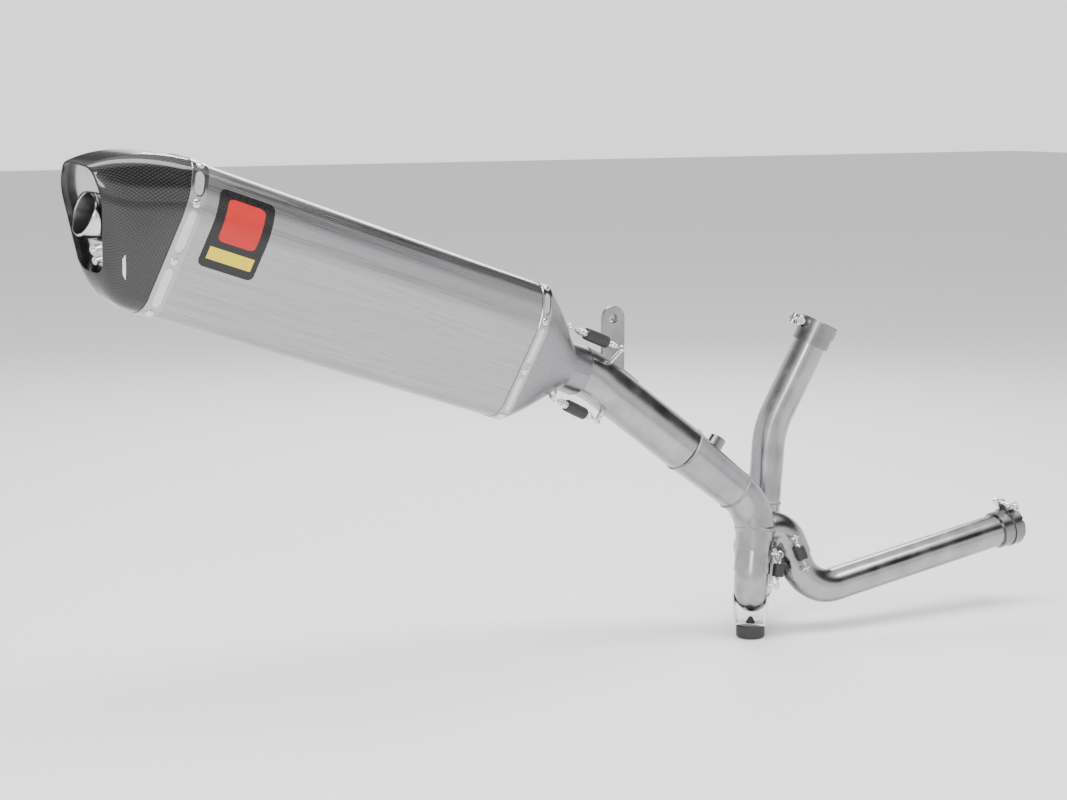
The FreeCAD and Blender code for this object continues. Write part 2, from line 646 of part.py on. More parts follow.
def make_hanger():
    half = HANGER_WIDTH / 2
    face = -NUT_LENGTH / 2 - HANGER_WALL
    plate = Part.makeBox(HANGER_WIDTH, HANGER_WALL, HANGER_DROP, V(-half, face, -HANGER_DROP))
    plate = plate.fuse(Part.makeCylinder(half, HANGER_WALL, V(0, face, 0), V(0, 1, 0)))
    hole = Part.makeCylinder(HANGER_HOLE_R, 60, V(0, -30, 0), V(0, 1, 0))
    saddle = rod(link_points(), LINK_RADII, LINK_R + SADDLE_WALL).cut(link_solid())
    window = Part.makeBox(64, 22, 90, V(-30, -NUT_LENGTH / 2 - HANGER_WALL, -75))
    saddle = saddle.common(window)
    saddle = max(saddle.Solids, key=lambda s: s.CenterOfMass.z)
    foot, out, side = link_hook_place(UPPER_HOOKS)
    for sign in (-1, 1):
        leg = foot + side * (sign * HOOK_BEND_R)
        clear = bar(leg - out * HOOK_ROOT, leg + out * HOOK_LEG, HOOK_WIRE_R + SADDLE_HOOK_GAP)
        saddle = saddle.cut(clear)
        plate = plate.cut(clear)
    saddle = max(saddle.Solids, key=lambda s: s.Volume)
    save("hanger_saddle", saddle)
    body = plate.removeSplitter().cut(hole).cut(rod(link_points(), LINK_RADII, LINK_R + SADDLE_WALL))
    save("hanger_bracket", max(body.Solids, key=lambda s: s.CenterOfMass.z))
    nut = Part.makeCylinder(NUT_FLAT_R, NUT_LENGTH, V(0, -NUT_LENGTH / 2, 0), V(0, 1, 0))
    save("weld_nut", nut.cut(Part.makeCylinder(NUT_THREAD_R, 60, V(0, -30, 0), V(0, 1, 0))))


# ---------------------------------------------------------------------------------------------
# Springs, their rubber sleeves and their welded hooks
# ---------------------------------------------------------------------------------------------
def hook(foot, out, side, solid):
    """A bent wire staple standing on a tube: two legs and a half ring, its crown along side."""
    low = foot - out * HOOK_ROOT
    high = foot + out * HOOK_LEG
    legs = [bar(low + side * (s * HOOK_BEND_R), high + side * (s * HOOK_BEND_R), HOOK_WIRE_R) for s in (-1, 1)]
    a, b = high - side * HOOK_BEND_R, high + side * HOOK_BEND_R
    arc = Part.Arc(a, high + out * HOOK_BEND_R, b).toShape()
    crown = Part.Wire([arc]).makePipeShell([Part.Wire(Part.makeCircle(HOOK_WIRE_R, a, out))], True, False)
    shape = legs[0].fuse(legs[1]).fuse(crown).removeSplitter().cut(solid)
    return max(shape.Solids, key=lambda s: s.Volume), high + out * HOOK_BEND_R


def spring(name, p, q, plane):
    """Loops round the two crowns, hook wires, and a coiled body with a rubber sleeve on it."""
    along = unit(q - p)
    lift = unit(plane - along * plane.dot(along))
    loop_axis = unit(along.cross(lift))
    shape = None
    span = (q - p).Length
    for centre, d in ((p, along), (q, along * -1)):
        loop = ring(centre, loop_axis, LOOP_R, LOOP_WIRE_R)
        stem = bar(centre + d * LOOP_R, centre + d * (LOOP_R + 4.0), LOOP_WIRE_R)
        shape = loop.fuse(stem) if shape is None else shape.fuse(loop).fuse(stem)
    body = bar(p + along * (LOOP_R + 3.5), q - along * (LOOP_R + 3.5), COIL_R)
    bore = bar(p + along * (LOOP_R + 5.5), q - along * (LOOP_R + 5.5), COIL_R - COIL_WALL)
    save(name + "_spring", shape.fuse(body.cut(bore)).removeSplitter())
    middle = (p + q) * 0.5
    half = span * SPRING_SLEEVE_SHARE / 2
    r_in = COIL_R + SPRING_SLEEVE_GAP
    save(name + "_spring_sleeve", tube(middle - along * half, middle + along * half, SPRING_SLEEVE_R,
                                       SPRING_SLEEVE_R - r_in))


def make_springs(inlet_cone, collector, rear_solid, front_solid):
    """One pair at the silencer, one spring at each header's slip joint."""
    link = link_solid()
    for name, hooks in (("upper", UPPER_HOOKS), ("lower", LOWER_HOOKS)):
        turn, from_slip, _, stand_off = hooks
        out = UP * math.cos(math.radians(turn)) + NEAR * math.sin(math.radians(turn))
        side = unit(AXIS.cross(out))
        first = SLIP_POINT - AXIS * from_slip + out * (LINK_R + stand_off)
        a, p = hook(first, out, side, inlet_cone)
        second, out_b, side_b = link_hook_place(hooks)
        b, q = hook(second, out_b, side_b, link)
        save("silencer_hook_" + name, a)
        save("link_hook_" + name, b)
        spring("silencer_" + name, p, q, out)
    legs = (("rear", REAR_SOCKET, LEG_DIR, V(0.90, -0.43, 0), rear_solid, 24.0, 13.0),
            ("front", FRONT_SOCKET, HUMP_OUT, V(-0.25, -0.95, 0), front_solid, 24.0, 14.0))
    for name, socket, direction, lean, header, up, down in legs:
        out = unit(lean - direction * lean.dot(direction))
        side = unit(direction.cross(out))
        a, p = hook(socket - direction * up + out * SOCKET_R, out, side, collector)
        b, q = hook(socket + direction * down + out * HEADER_R, out, side, header)
        save("collector_hook_" + name, a)
        save(name + "_header_hook", b)
        spring("collector_" + name, p, q, out)


# ---------------------------------------------------------------------------------------------
# Stand stop
# ---------------------------------------------------------------------------------------------
def make_stand_stop(rear_solid):
    away = REAR_LOW_CORNER - REAR_BOTTOM_CORNER
    away = unit(V(away.x, away.y, 0))
    side = unit(away.cross(V(0, 0, 1)))
    base = REAR_BOTTOM_CORNER + away * 16.0
    low = REAR_BOTTOM_CORNER.z - HEADER_R - STRAP_DROP
    top = REAR_BOTTOM_CORNER.z + 4.0
    half_top, half_low = HEADER_R - 0.5, HEADER_R - 4.0

    def at(s, z):
        return V(base.x + side.x * s, base.y + side.y * s, z) - away * (STRAP_WIDTH / 2)
    t = STRAP_WALL
    outline = [at(-half_top - t, top), at(-half_low - t, low - t), at(half_low + t, low - t), at(half_top + t, top),
               at(half_top, top), at(half_low, low), at(-half_low, low), at(-half_top, top)]
    strap = Part.Face(Part.makePolygon(outline + outline[:1])).extrude(away * STRAP_WIDTH)
    stem_axis = V(base.x, base.y, 0)
    hole = Part.makeCylinder(4.0, 20, V(stem_axis.x, stem_axis.y, low - 10))
    save("stand_stop_strap", strap.cut(rear_solid).cut(hole))
    block = Part.makeCylinder(BUFFER_R, BUFFER_HEIGHT, V(stem_axis.x, stem_axis.y, low - t - BUFFER_HEIGHT))
    rim = [e for e in block.Edges if e.Length > 50]
    block = block.makeFillet(2.5, rim[:2])
    stem = Part.makeCylinder(4.0, t, V(stem_axis.x, stem_axis.y, low - t))
    tip = Part.makeCone(5.5, 2.0, 6.5, V(stem_axis.x, stem_axis.y, low))
    save("stand_stop_buffer", block.fuse(stem).fuse(tip).removeSplitter())
    print("buffer base", stem_axis, low - t - BUFFER_HEIGHT)


# ---------------------------------------------------------------------------------------------
make_sleeve()
make_end_plate()
make_inlet()
make_core()
BOLT_SPOT = make_outlet(make_cap())
make_badge()
make_link()
make_collector()
make_beads()
make_headers()
make_port("front", FRONT_PORT, FRONT_PORT_DIR)
make_port("rear", REAR_PORT, REAR_PORT_DIR)
make_hanger()
REAR_SOLID = rod(REAR_POINTS, REAR_RADII, HEADER_R)
FRONT_SOLID = rod(FRONT_POINTS, FRONT_RADII, HEADER_R)
CONE_SOLID = placed(Part.makeLoft([section_wire(SLEEVE_END, -SLEEVE_WALL),
                                   circle_like_section(CONE_END, LINK_R + SLIP_CLEARANCE + SOCKET_WALL)], True, True))
make_springs(CONE_SOLID, collector_solid(0), REAR_SOLID, FRONT_SOLID)
make_stand_stop(REAR_SOLID)
print("silencer axis", AXIS, "up", UP, "near", NEAR, "base", PLACE.Base)
print("insert axis point", PLACE.multVec(V(-OUTLET_Y, 0, MOUTH_CENTRE.z)))
print("leg dir", LEG_DIR, "hump out", HUMP_OUT)
print("mouth out", PLACE.Rotation.multVec(MOUTH_OUT), "bolt", PLACE.multVec(BOLT_SPOT))
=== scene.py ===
# %% [markdown]
# # A racing exhaust system
# The solid model of the exhaust is loaded as a fixed frame. Everything below gives it its looks.
# Lengths are in metres. +X is the motorcycle's forward direction, +Z is up.
# %% Load the frame
import json
import math
import bmesh
import bpy
from mathutils import Matrix, Vector


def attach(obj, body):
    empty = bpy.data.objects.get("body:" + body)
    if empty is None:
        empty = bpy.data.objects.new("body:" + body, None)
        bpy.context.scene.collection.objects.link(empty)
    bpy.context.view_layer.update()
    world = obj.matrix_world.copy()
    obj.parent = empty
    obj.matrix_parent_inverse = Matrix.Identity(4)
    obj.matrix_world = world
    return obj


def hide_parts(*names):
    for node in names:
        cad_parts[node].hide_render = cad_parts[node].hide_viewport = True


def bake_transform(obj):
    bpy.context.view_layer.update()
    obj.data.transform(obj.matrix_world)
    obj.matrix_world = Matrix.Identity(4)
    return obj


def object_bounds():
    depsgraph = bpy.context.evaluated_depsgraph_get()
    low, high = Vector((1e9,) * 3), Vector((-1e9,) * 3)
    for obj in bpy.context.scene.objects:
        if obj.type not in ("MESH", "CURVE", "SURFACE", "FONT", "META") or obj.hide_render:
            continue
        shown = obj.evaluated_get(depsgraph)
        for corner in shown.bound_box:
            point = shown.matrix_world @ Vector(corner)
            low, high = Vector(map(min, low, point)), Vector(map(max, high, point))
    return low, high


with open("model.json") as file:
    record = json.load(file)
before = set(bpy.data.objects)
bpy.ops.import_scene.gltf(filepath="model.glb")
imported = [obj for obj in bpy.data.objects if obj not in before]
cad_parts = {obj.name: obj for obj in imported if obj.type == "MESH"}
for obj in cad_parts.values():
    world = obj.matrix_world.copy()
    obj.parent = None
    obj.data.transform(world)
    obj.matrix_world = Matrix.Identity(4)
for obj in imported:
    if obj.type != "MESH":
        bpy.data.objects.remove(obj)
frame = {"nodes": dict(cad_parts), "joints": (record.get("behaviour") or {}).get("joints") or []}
CAD_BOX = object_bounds()
MM = 0.001
JOINTS = {j["name"]: j for j in frame["joints"]}
print("CAD box", CAD_BOX)

# %% [markdown]
# ## Camera
# The exhaust is seen from the machine's right and a little behind, from slightly above, with a
# short telephoto lens. A camera is placed from two angles, a distance and the point that it looks
# past, because those are the numbers that a person would use.
# %% Camera
AZIMUTH, ELEVATION = math.radians(-30), math.radians(9)
LENS_MM = 1950 / 1067 * 36
HANGER_FROM_CAMERA = (0.0865, 0.0927, 2.205)


def make_camera():
    right = Vector((math.cos(AZIMUTH), math.sin(AZIMUTH), 0))
    back = Vector((math.sin(AZIMUTH) * math.cos(ELEVATION),
                   -math.cos(AZIMUTH) * math.cos(ELEVATION),
                   math.sin(ELEVATION)))
    up = back.cross(right)
    x, y, depth = HANGER_FROM_CAMERA
    place = back * depth - right * x - up * y
    cam = bpy.data.cameras.new("camera")
    cam.lens, cam.sensor_width, cam.clip_end = LENS_MM, 36, 60
    obj = bpy.data.objects.new("camera", cam)
    obj.matrix_world = Matrix((
        (right.x, up.x, back.x, place.x), (right.y, up.y, back.y, place.y),
        (right.z, up.z, back.z, place.z), (0, 0, 0, 1)))
    bpy.context.scene.collection.objects.link(obj)
    bpy.context.scene.camera = obj
    print("camera at", tuple(round(v, 3) for v in place))


make_camera()

# %% [markdown]
# ## Light and floor
# Brushed metal shows what is around it. A pale room with a few large soft lights gives it long
# even highlights, and a grey surround gives it something dark to show between them.
# %% Light and floor
FLOOR_Z = CAD_BOX[0][2] - 0.0005


def area_light(name, place, target, size, size_y, watts):
    data = bpy.data.lights.new(name, "AREA")
    data.shape, data.size, data.size_y, data.energy = "RECTANGLE", size, size_y, watts
    obj = bpy.data.objects.new(name, data)
    obj.location = place
    aim = Vector(target) - Vector(place)
    obj.rotation_euler = aim.to_track_quat("-Z", "Y").to_euler()
    bpy.context.scene.collection.objects.link(obj)


def make_studio():
    world = bpy.data.worlds.new("studio")
    bpy.context.scene.world = world
    world.use_nodes = True
    tree = world.node_tree
    back = tree.nodes["Background"]
    back.inputs["Strength"].default_value = 1.55
    coord = tree.nodes.new("ShaderNodeTexCoord")
    split = tree.nodes.new("ShaderNodeSeparateXYZ")
    ramp = tree.nodes.new("ShaderNodeValToRGB")
    tree.links.new(coord.outputs["Generated"], split.inputs[0])
    tree.links.new(split.outputs["Z"], ramp.inputs["Fac"])
    tree.links.new(ramp.outputs["Color"], back.inputs["Color"])
    stops = ((0.0, 1.0), (0.30, 1.0), (0.42, 0.05), (0.68, 0.03), (0.82, 0.80), (1.0, 1.0))
    for place, value in stops[1:-1]:
        ramp.color_ramp.elements.new(place)
    for element, (place, value) in zip(ramp.color_ramp.elements, stops):
        element.position = place
        element.color = (value, value, value * 1.01, 1)
    area_light("top_light", (-0.2, -0.4, 2.2), (0, 0, -0.1), 3.4, 0.9, 105)
    area_light("front_light", (-1.6, -1.8, 1.0), (-0.3, 0, 0), 0.5, 1.1, 26)
    area_light("rear_light", (0.9, 1.7, 1.1), (0, 0, -0.1), 1.6, 0.8, 30)
    mesh = bpy.data.meshes.new("floor")
    half = 14.0
    mesh.from_pydata([(-half, -half, FLOOR_Z), (half, -half, FLOOR_Z), (half, half, FLOOR_Z),
                      (-half, half, FLOOR_Z)], [], [(0, 1, 2, 3)])
    floor = bpy.data.objects.new("floor", mesh)
    bpy.context.scene.collection.objects.link(floor)
    mat = bpy.data.materials.new("pale_floor")
    mat.use_nodes = True
    shader = mat.node_tree.nodes["Principled BSDF"]
    shader.inputs["Base Color"].default_value = (0.93, 0.93, 0.93, 1)
    shader.inputs["Roughness"].default_value = 0.65
    mesh.materials.append(mat)


make_studio()

# %% [markdown]
# ## Finishes
# Every finish is a small node tree on the Principled shader. A helper starts each one with object
# coordinates, so that the grain keeps its real size on every piece.
# %% Node helpers


def new_finish(name, colour, metallic, roughness):
    mat = bpy.data.materials.new(name)
    mat.use_nodes = True
    tree = mat.node_tree
    shader = tree.nodes["Principled BSDF"]
    shader.inputs["Base Color"].default_value = (*colour, 1)
    shader.inputs["Metallic"].default_value = metallic
    shader.inputs["Roughness"].default_value = roughness
    coord = tree.nodes.new("ShaderNodeTexCoord")
    return mat, tree, shader, coord


def noise(tree, source, scale, stretch=(1, 1, 1), turn=(0, 0, 0), detail=3.0):
    """Noise whose grain can be stretched along one axis after a turn."""
    first = tree.nodes.new("ShaderNodeMapping")
    first.inputs["Rotation"].default_value = turn
    second = tree.nodes.new("ShaderNodeMapping")
    second.inputs["Scale"].default_value = stretch
    tex = tree.nodes.new("ShaderNodeTexNoise")
    tex.inputs["Scale"].default_value = scale
    tex.inputs["Detail"].default_value = detail
    tree.links.new(source, first.inputs["Vector"])
    tree.links.new(first.outputs["Vector"], second.inputs["Vector"])
    tree.links.new(second.outputs["Vector"], tex.inputs["Vector"])
    return tex.outputs["Fac"]


def ranged(tree, fac, low, high, start=0.3, end=0.7):
    node = tree.nodes.new("ShaderNodeMapRange")
    node.inputs["From Min"].default_value = start
    node.inputs["From Max"].default_value = end
    node.inputs["To Min"].default_value = low
    node.inputs["To Max"].default_value = high
    tree.links.new(fac, node.inputs["Value"])
    return node.outputs["Result"]


def tint(tree, fac, dark, light, start=0.3, end=0.7):
    ramp = tree.nodes.new("ShaderNodeValToRGB")
    ramp.color_ramp.elements[0].position, ramp.color_ramp.elements[1].position = start, end
    ramp.color_ramp.elements[0].color = (*dark, 1)
    ramp.color_ramp.elements[1].color = (*light, 1)
    tree.links.new(fac, ramp.inputs["Fac"])
    return ramp.outputs["Color"]


def bump(tree, shader, height, strength, distance):
    node = tree.nodes.new("ShaderNodeBump")
    node.inputs["Strength"].default_value = strength
    node.inputs["Distance"].default_value = distance
    tree.links.new(height, node.inputs["Height"])
    tree.links.new(node.outputs["Normal"], shader.inputs["Normal"])


# %% [markdown]
# The sleeve is brushed along its length, so its grain is noise drawn out along the silencer's axis.
# The mapping node turns object coordinates until X lies along that axis.
# %% Brushed and satin metals
AXIS = Vector(JOINTS["silencer_swivel"]["axis"])
GRAIN_TURN = AXIS.rotation_difference(Vector((1, 0, 0))).to_euler()


def brushed_titanium(name="brushed_titanium", dark=(0.29, 0.292, 0.30), light=(0.41, 0.412, 0.42),
                     base=0.28):
    mat, tree, shader, coord = new_finish(name, light, 1.0, base)
    where = coord.outputs["Object"]
    fine = noise(tree, where, 900, (0.012, 1, 1), GRAIN_TURN, 4.0)
    broad = noise(tree, where, 9, (0.5, 1, 1), GRAIN_TURN, 2.0)
    tree.links.new(tint(tree, fine, dark, light, 0.25, 0.75), shader.inputs["Base Color"])
    mix = tree.nodes.new("ShaderNodeMath")
    mix.operation = "ADD"
    tree.links.new(ranged(tree, fine, base - 0.05, base + 0.06), mix.inputs[0])
    tree.links.new(ranged(tree, broad, -0.03, 0.04), mix.inputs[1])
    tree.links.new(mix.outputs[0], shader.inputs["Roughness"])
    bump(tree, shader, fine, 0.10, 0.0002)
    return mat


def satin_tube(name, dark, light, base):
    """A tube with the faint cloudy look of drawn and acid-cleaned titanium."""
    mat, tree, shader, coord = new_finish(name, light, 1.0, base)
    where = coord.outputs["Object"]
    cloud = noise(tree, where, 38, detail=5.0)
    speck = noise(tree, where, 700, detail=2.0)
    tree.links.new(tint(tree, cloud, dark, light, 0.30, 0.72), shader.inputs["Base Color"])
    tree.links.new(ranged(tree, cloud, base - 0.05, base + 0.07), shader.inputs["Roughness"])
    bump(tree, shader, speck, 0.12, 0.0002)
    return mat


TITANIUM = brushed_titanium()
CONE_TITANIUM = brushed_titanium("cone_titanium", (0.21, 0.212, 0.22), (0.30, 0.302, 0.31), 0.30)
TUBE = satin_tube("satin_tube", (0.28, 0.282, 0.29), (0.39, 0.392, 0.40), 0.22)
POLISHED = satin_tube("polished_band", (0.60, 0.60, 0.61), (0.74, 0.74, 0.75), 0.16)
PLATE_STEEL = satin_tube("plate_steel", (0.26, 0.26, 0.265), (0.38, 0.38, 0.385), 0.34)
DARK_STEEL = satin_tube("dark_steel", (0.16, 0.16, 0.165), (0.27, 0.27, 0.275), 0.28)
ZINC = satin_tube("bright_zinc", (0.58, 0.58, 0.58), (0.80, 0.80, 0.80), 0.18)
SPRING_STEEL = satin_tube("spring_steel", (0.62, 0.62, 0.62), (0.86, 0.86, 0.86), 0.14)
WELD = satin_tube("weld_metal", (0.24, 0.235, 0.235), (0.42, 0.415, 0.41), 0.30)


def pressed_band():
    """Polished on the rim; the pressed pads keep the satin of the sheet. The pad attribute tells
    which."""
    mat, tree, shader, coord = new_finish("pressed_band", (0.6, 0.6, 0.61), 1.0, 0.2)
    pad = tree.nodes.new("ShaderNodeAttribute")
    pad.attribute_name = "pad"
    speck = noise(tree, coord.outputs["Object"], 500, detail=3.0)
    tree.links.new(tint(tree, pad.outputs["Fac"], (0.40, 0.40, 0.405), (0.66, 0.66, 0.665), 0.2,
                        0.8),
                   shader.inputs["Base Color"])
    tree.links.new(ranged(tree, pad.outputs["Fac"], 0.20, 0.42, 0.2, 0.8),
                   shader.inputs["Roughness"])
    bump(tree, shader, speck, 0.08, 0.0001)
    return mat


PRESSED_BAND = pressed_band()

# %% [markdown]
# The carbon cloth is a plain weave: each yarn goes over one and under one, as on a chequerboard.
# Floor and modulo on the piece's own UV map, which is in metres, tell which yarn is on top.
# A clear lacquer over it gives the hard highlights.
# %% Carbon
YARN = 0.0019


def maths(tree, operation, a, b=None):
    node = tree.nodes.new("ShaderNodeMath")
    node.operation = operation
    for socket, value in zip(node.inputs, (a, b)):
        if value is None:
            continue
        if isinstance(value, (int, float)):
            socket.default_value = value
        else:
            tree.links.new(value, socket)
    return node.outputs[0]


def carbon_weave():
    mat, tree, shader, coord = new_finish("carbon_weave", (0.02, 0.02, 0.022), 0.0, 0.32)
    split = tree.nodes.new("ShaderNodeSeparateXYZ")
    tree.links.new(coord.outputs["UV"], split.inputs[0])
    u = maths(tree, "DIVIDE", split.outputs["X"], YARN)
    v = maths(tree, "DIVIDE", split.outputs["Y"], YARN)
    diagonal = maths(tree, "ADD", maths(tree, "FLOOR", u), maths(tree, "FLOOR", v))
    over = maths(tree, "LESS_THAN", maths(tree, "FLOORED_MODULO", diagonal, 2.0), 0.5)
    warp = maths(tree, "SINE", maths(tree, "MULTIPLY", maths(tree, "FRACT", u), math.pi))
    weft = maths(tree, "SINE", maths(tree, "MULTIPLY", maths(tree, "FRACT", v), math.pi))
    crown = tree.nodes.new("ShaderNodeMix")
    tree.links.new(over, crown.inputs["Factor"])
    tree.links.new(warp, crown.inputs[2])
    tree.links.new(weft, crown.inputs[3])
    height = crown.outputs[0]
    # Painted light: the base colour is lighter on the yarns on top and on each yarn's crown, and
    # darker in the creases between yarns. This is a painted sheen and painted crease shade.
    painted_sheen_and_crease_shade = maths(tree, "ADD", maths(tree, "MULTIPLY", over, 0.55),
                  maths(tree, "MULTIPLY", height, 0.45))
    tree.links.new(tint(tree, painted_sheen_and_crease_shade, (0.0015, 0.0015, 0.0017), (0.030, 0.030, 0.032), 0.30, 1.0),
                   shader.inputs["Base Color"])
    tree.links.new(ranged(tree, over, 0.28, 0.42, 0, 1), shader.inputs["Roughness"])
    bump(tree, shader, height, 0.25, 0.0003)
    shader.inputs["Coat Weight"].default_value = 1.0
    shader.inputs["Coat Roughness"].default_value = 0.04
    shader.inputs["Specular IOR Level"].default_value = 0.15
    return mat


CARBON = carbon_weave()

# %% [markdown]
# Rubber and painted badges aren't perfectly even either: a fine grain breaks up their highlights.
# %% Rubber, badge and wool


def grained(name, dark, light, roughness, scale, depth):
    mat, tree, shader, coord = new_finish(name, light, 0.0, roughness)
    grain = noise(tree, coord.outputs["Object"], scale, detail=4.0)
    tree.links.new(tint(tree, grain, dark, light), shader.inputs["Base Color"])
    tree.links.new(ranged(tree, grain, roughness - 0.06, roughness + 0.08),
                   shader.inputs["Roughness"])
    bump(tree, shader, grain, 0.25, depth)
    return mat


RUBBER = grained("black_rubber", (0.010, 0.010, 0.010), (0.030, 0.030, 0.031), 0.52, 900, 0.0002)
BADGE = grained("black_badge", (0.003, 0.003, 0.003), (0.006, 0.006, 0.006), 0.28, 300, 0.00003)
BADGE_RED = grained("badge_red", (0.50, 0.004, 0.003), (0.56, 0.006, 0.004), 0.34, 300, 0.00003)
BADGE_YELLOW = grained("badge_yellow", (0.74, 0.56, 0.01), (0.80, 0.62, 0.015), 0.36, 300, 0.00003)
WOOL = grained("glass_wool", (0.62, 0.58, 0.44), (0.84, 0.80, 0.66), 0.95, 240, 0.002)

# %% [markdown]
# The nodes that keep their own solid shape get their finish here.
# %% Finishes on the solid model
FINISH_OF = {
    "cone": CONE_TITANIUM, "rivets": ZINC, "hook": ZINC, "collar": DARK_STEEL,
    "clamp_band": DARK_STEEL,
    "barrels": ZINC, "bolt": ZINC, "nut": ZINC, "screw": ZINC, "strap": ZINC, "buffer": RUBBER,
    "bezel": POLISHED, "insert": POLISHED, "packing": WOOL, "badge": BADGE, "spring_sleeve": RUBBER,
    "bead": WELD, "muffler_sleeve": TITANIUM, "_band": POLISHED, "carbon": CARBON,
    "boss": DARK_STEEL,
    "bracket": PLATE_STEEL, "saddle": PLATE_STEEL, "weld_nut": PLATE_STEEL,
}


def finish_for(node):
    order = sorted(FINISH_OF, key=len, reverse=True)
    return next((FINISH_OF[key] for key in order if key in node), TUBE)


for node_name, node in frame["nodes"].items():
    node.data.materials.clear()
    node.data.materials.append(finish_for(node_name))
print("finished", len(frame["nodes"]), "nodes")

# %% [markdown]
# ## Making meshes
# Most pieces are rows of points joined row to row, which is what a lathe, a sweep and a sheet-metal
# roller all make. One helper turns rows into a mesh and marks its real edges sharp.
# %% Rows into a mesh
SHARP_ANGLE = math.radians(34)


def new_piece(name, mesh, material, body, *nodes):
    """Finishes a mesh as a piece: normals, sharp edges, material, its body and the nodes it
    replaces."""
    bm = bmesh.new()
    bm.from_mesh(mesh)
    bmesh.ops.remove_doubles(bm, verts=bm.verts, dist=1e-6)
    bmesh.ops.recalc_face_normals(bm, faces=bm.faces)
    bm.to_mesh(mesh)
    bm.free()
    for face in mesh.polygons:
        face.use_smooth = True
    mesh.set_sharp_from_angle(angle=SHARP_ANGLE)
    mesh.materials.clear()
    mesh.materials.append(material)
    obj = bpy.data.objects.new(name, mesh)
    bpy.context.scene.collection.objects.link(obj)
    if body:
        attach(obj, body)
    if nodes:
        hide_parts(*nodes)
    print(name, len(mesh.polygons), "faces")
    return obj


def rows_mesh(name, rows, around=True, along=False, uv=None):
    """Faces between each row and the next; around closes each row, along joins the last to the
    first."""
    count = len(rows[0])
    verts = [tuple(p) for row in rows for p in row]
    faces, coords = [], []
    last_row = len(rows) if along else len(rows) - 1
    last_col = count if around else count - 1
    for i in range(last_row):
        for k in range(last_col):
            j, m = (i + 1) % len(rows), (k + 1) % count
            faces.append((i * count + k, i * count + m, j * count + m, j * count + k))
            coords.append(((i, k), (i, k + 1), (i + 1, k + 1), (i + 1, k)))
    mesh = bpy.data.meshes.new(name)
    mesh.from_pydata(verts, [], faces)
    if uv:
        layer = mesh.uv_layers.new(name="UVMap")
        for face, corner in zip(mesh.polygons, coords):
            for loop, (i, k) in zip(face.loop_indices, corner):
                layer.data[loop].uv = uv(i, k)
    return mesh


def lathe(centre, axis, profile, segments=64):
    """Rows for a profile of (distance along the axis, radius) turned round the axis."""
    axis = Vector(axis).normalized()
    side = axis.orthogonal().normalized()
    other = axis.cross(side)
    return [[Vector(centre) + axis * z + (side * math.cos(t) + other * math.sin(t)) * r
             for t in (2 * math.pi * k / segments for k in range(segments))] for z, r in profile]


# %% [markdown]
# ## The silencer's own frame
# The silencer is built along its own axis: x is up, y is towards the near side and z runs from the
# outlet to the inlet. Its outline is a six-sided ring with round corners.
# %% Silencer frame and outline
SLOPE_ROLL = math.radians(5)
SLEEVE_LENGTH, OUTLET_BAND, INLET_BAND = 0.422, 0.0185, 0.0134
SLIP_FROM_BAND = 0.083
SECTION_HEIGHT = 0.154
CORNER_RADII = (0.020, 0.060, 0.022)
HALF_WIDTHS = (0.0304, 0.0475, 0.0256)
SHOULDER_DROP = 0.038
SLIP = Vector(JOINTS["silencer_swivel"]["pos_m"])
LEVEL_NEAR = AXIS.cross(Vector((0, 0, 1))).normalized()
LEVEL_UP = LEVEL_NEAR.cross(AXIS)
NEAR = LEVEL_NEAR * math.cos(SLOPE_ROLL) - LEVEL_UP * math.sin(SLOPE_ROLL)
UP = LEVEL_UP * math.cos(SLOPE_ROLL) + LEVEL_NEAR * math.sin(SLOPE_ROLL)
BASE = SLIP - AXIS * (SLEEVE_LENGTH + SLIP_FROM_BAND)


def at(x, y, z):
    return BASE + UP * x + NEAR * y + AXIS * z


def make_outline(arc_steps=24, edge_step=0.0009):
    """Points round the section: (x, y, outward x, outward y, distance round); and where the rivets
    sit."""
    top, low = SECTION_HEIGHT / 2, -SECTION_HEIGHT / 2
    right = list(zip((top, top - SHOULDER_DROP, low), HALF_WIDTHS))
    corners = [Vector(c) for c in right + [(x, -y) for x, y in reversed(right)]]
    arcs = []
    for i, here in enumerate(corners):
        back = (corners[i - 1] - here).normalized()
        on = (corners[(i + 1) % 6] - here).normalized()
        half = back.angle(on) / 2
        radius = (CORNER_RADII + CORNER_RADII[::-1])[i]
        arcs.append((here + (back + on).normalized() * (radius / math.sin(half)), here, back, on,
                     half, radius))
    points, stations, run = [], [], 0.0
    for i, (centre, here, back, on, half, radius) in enumerate(arcs):
        cut = radius / math.tan(half)
        a, b = here + back * cut, here + on * cut
        sweep = math.pi - 2 * half
        n0 = (a - centre).normalized()
        turn = 1 if n0.cross((b - centre).normalized()) > 0 else -1
        for k in range(arc_steps + 1):
            angle = turn * sweep * k / arc_steps
            n = Vector((n0.x * math.cos(angle) - n0.y * math.sin(angle),
                        n0.x * math.sin(angle) + n0.y * math.cos(angle)))
            p = centre + n * radius
            points.append((p.x, p.y, n.x, n.y, run + radius * sweep * k / arc_steps))
            if k == arc_steps // 2:
                stations.append(points[-1])
        run += radius * sweep
        following = arcs[(i + 1) % 6]
        start = following[1] + following[2] * (following[5] / math.tan(following[4]))
        length = (start - b).length
        n = points[-1][2:4]
        steps = max(2, int(length / edge_step))
        for k in range(1, steps):
            p = b + (start - b) * (k / steps)
            points.append((p.x, p.y, n[0], n[1], run + length * k / steps))
            if i in (1, 3) and k == steps // 2:
                stations.append(points[-1])
        run += length
    return points, sorted(stations, key=lambda s: s[4]), run


OUTLINE, RIVET_STATIONS, PERIMETER = make_outline()


def ring_at(z, grow=0.0):
    return [at(x + nx * grow, y + ny * grow, z) for x, y, nx, ny, _ in OUTLINE]


print("outline of", len(OUTLINE), "points,", round(PERIMETER, 4), "m round")

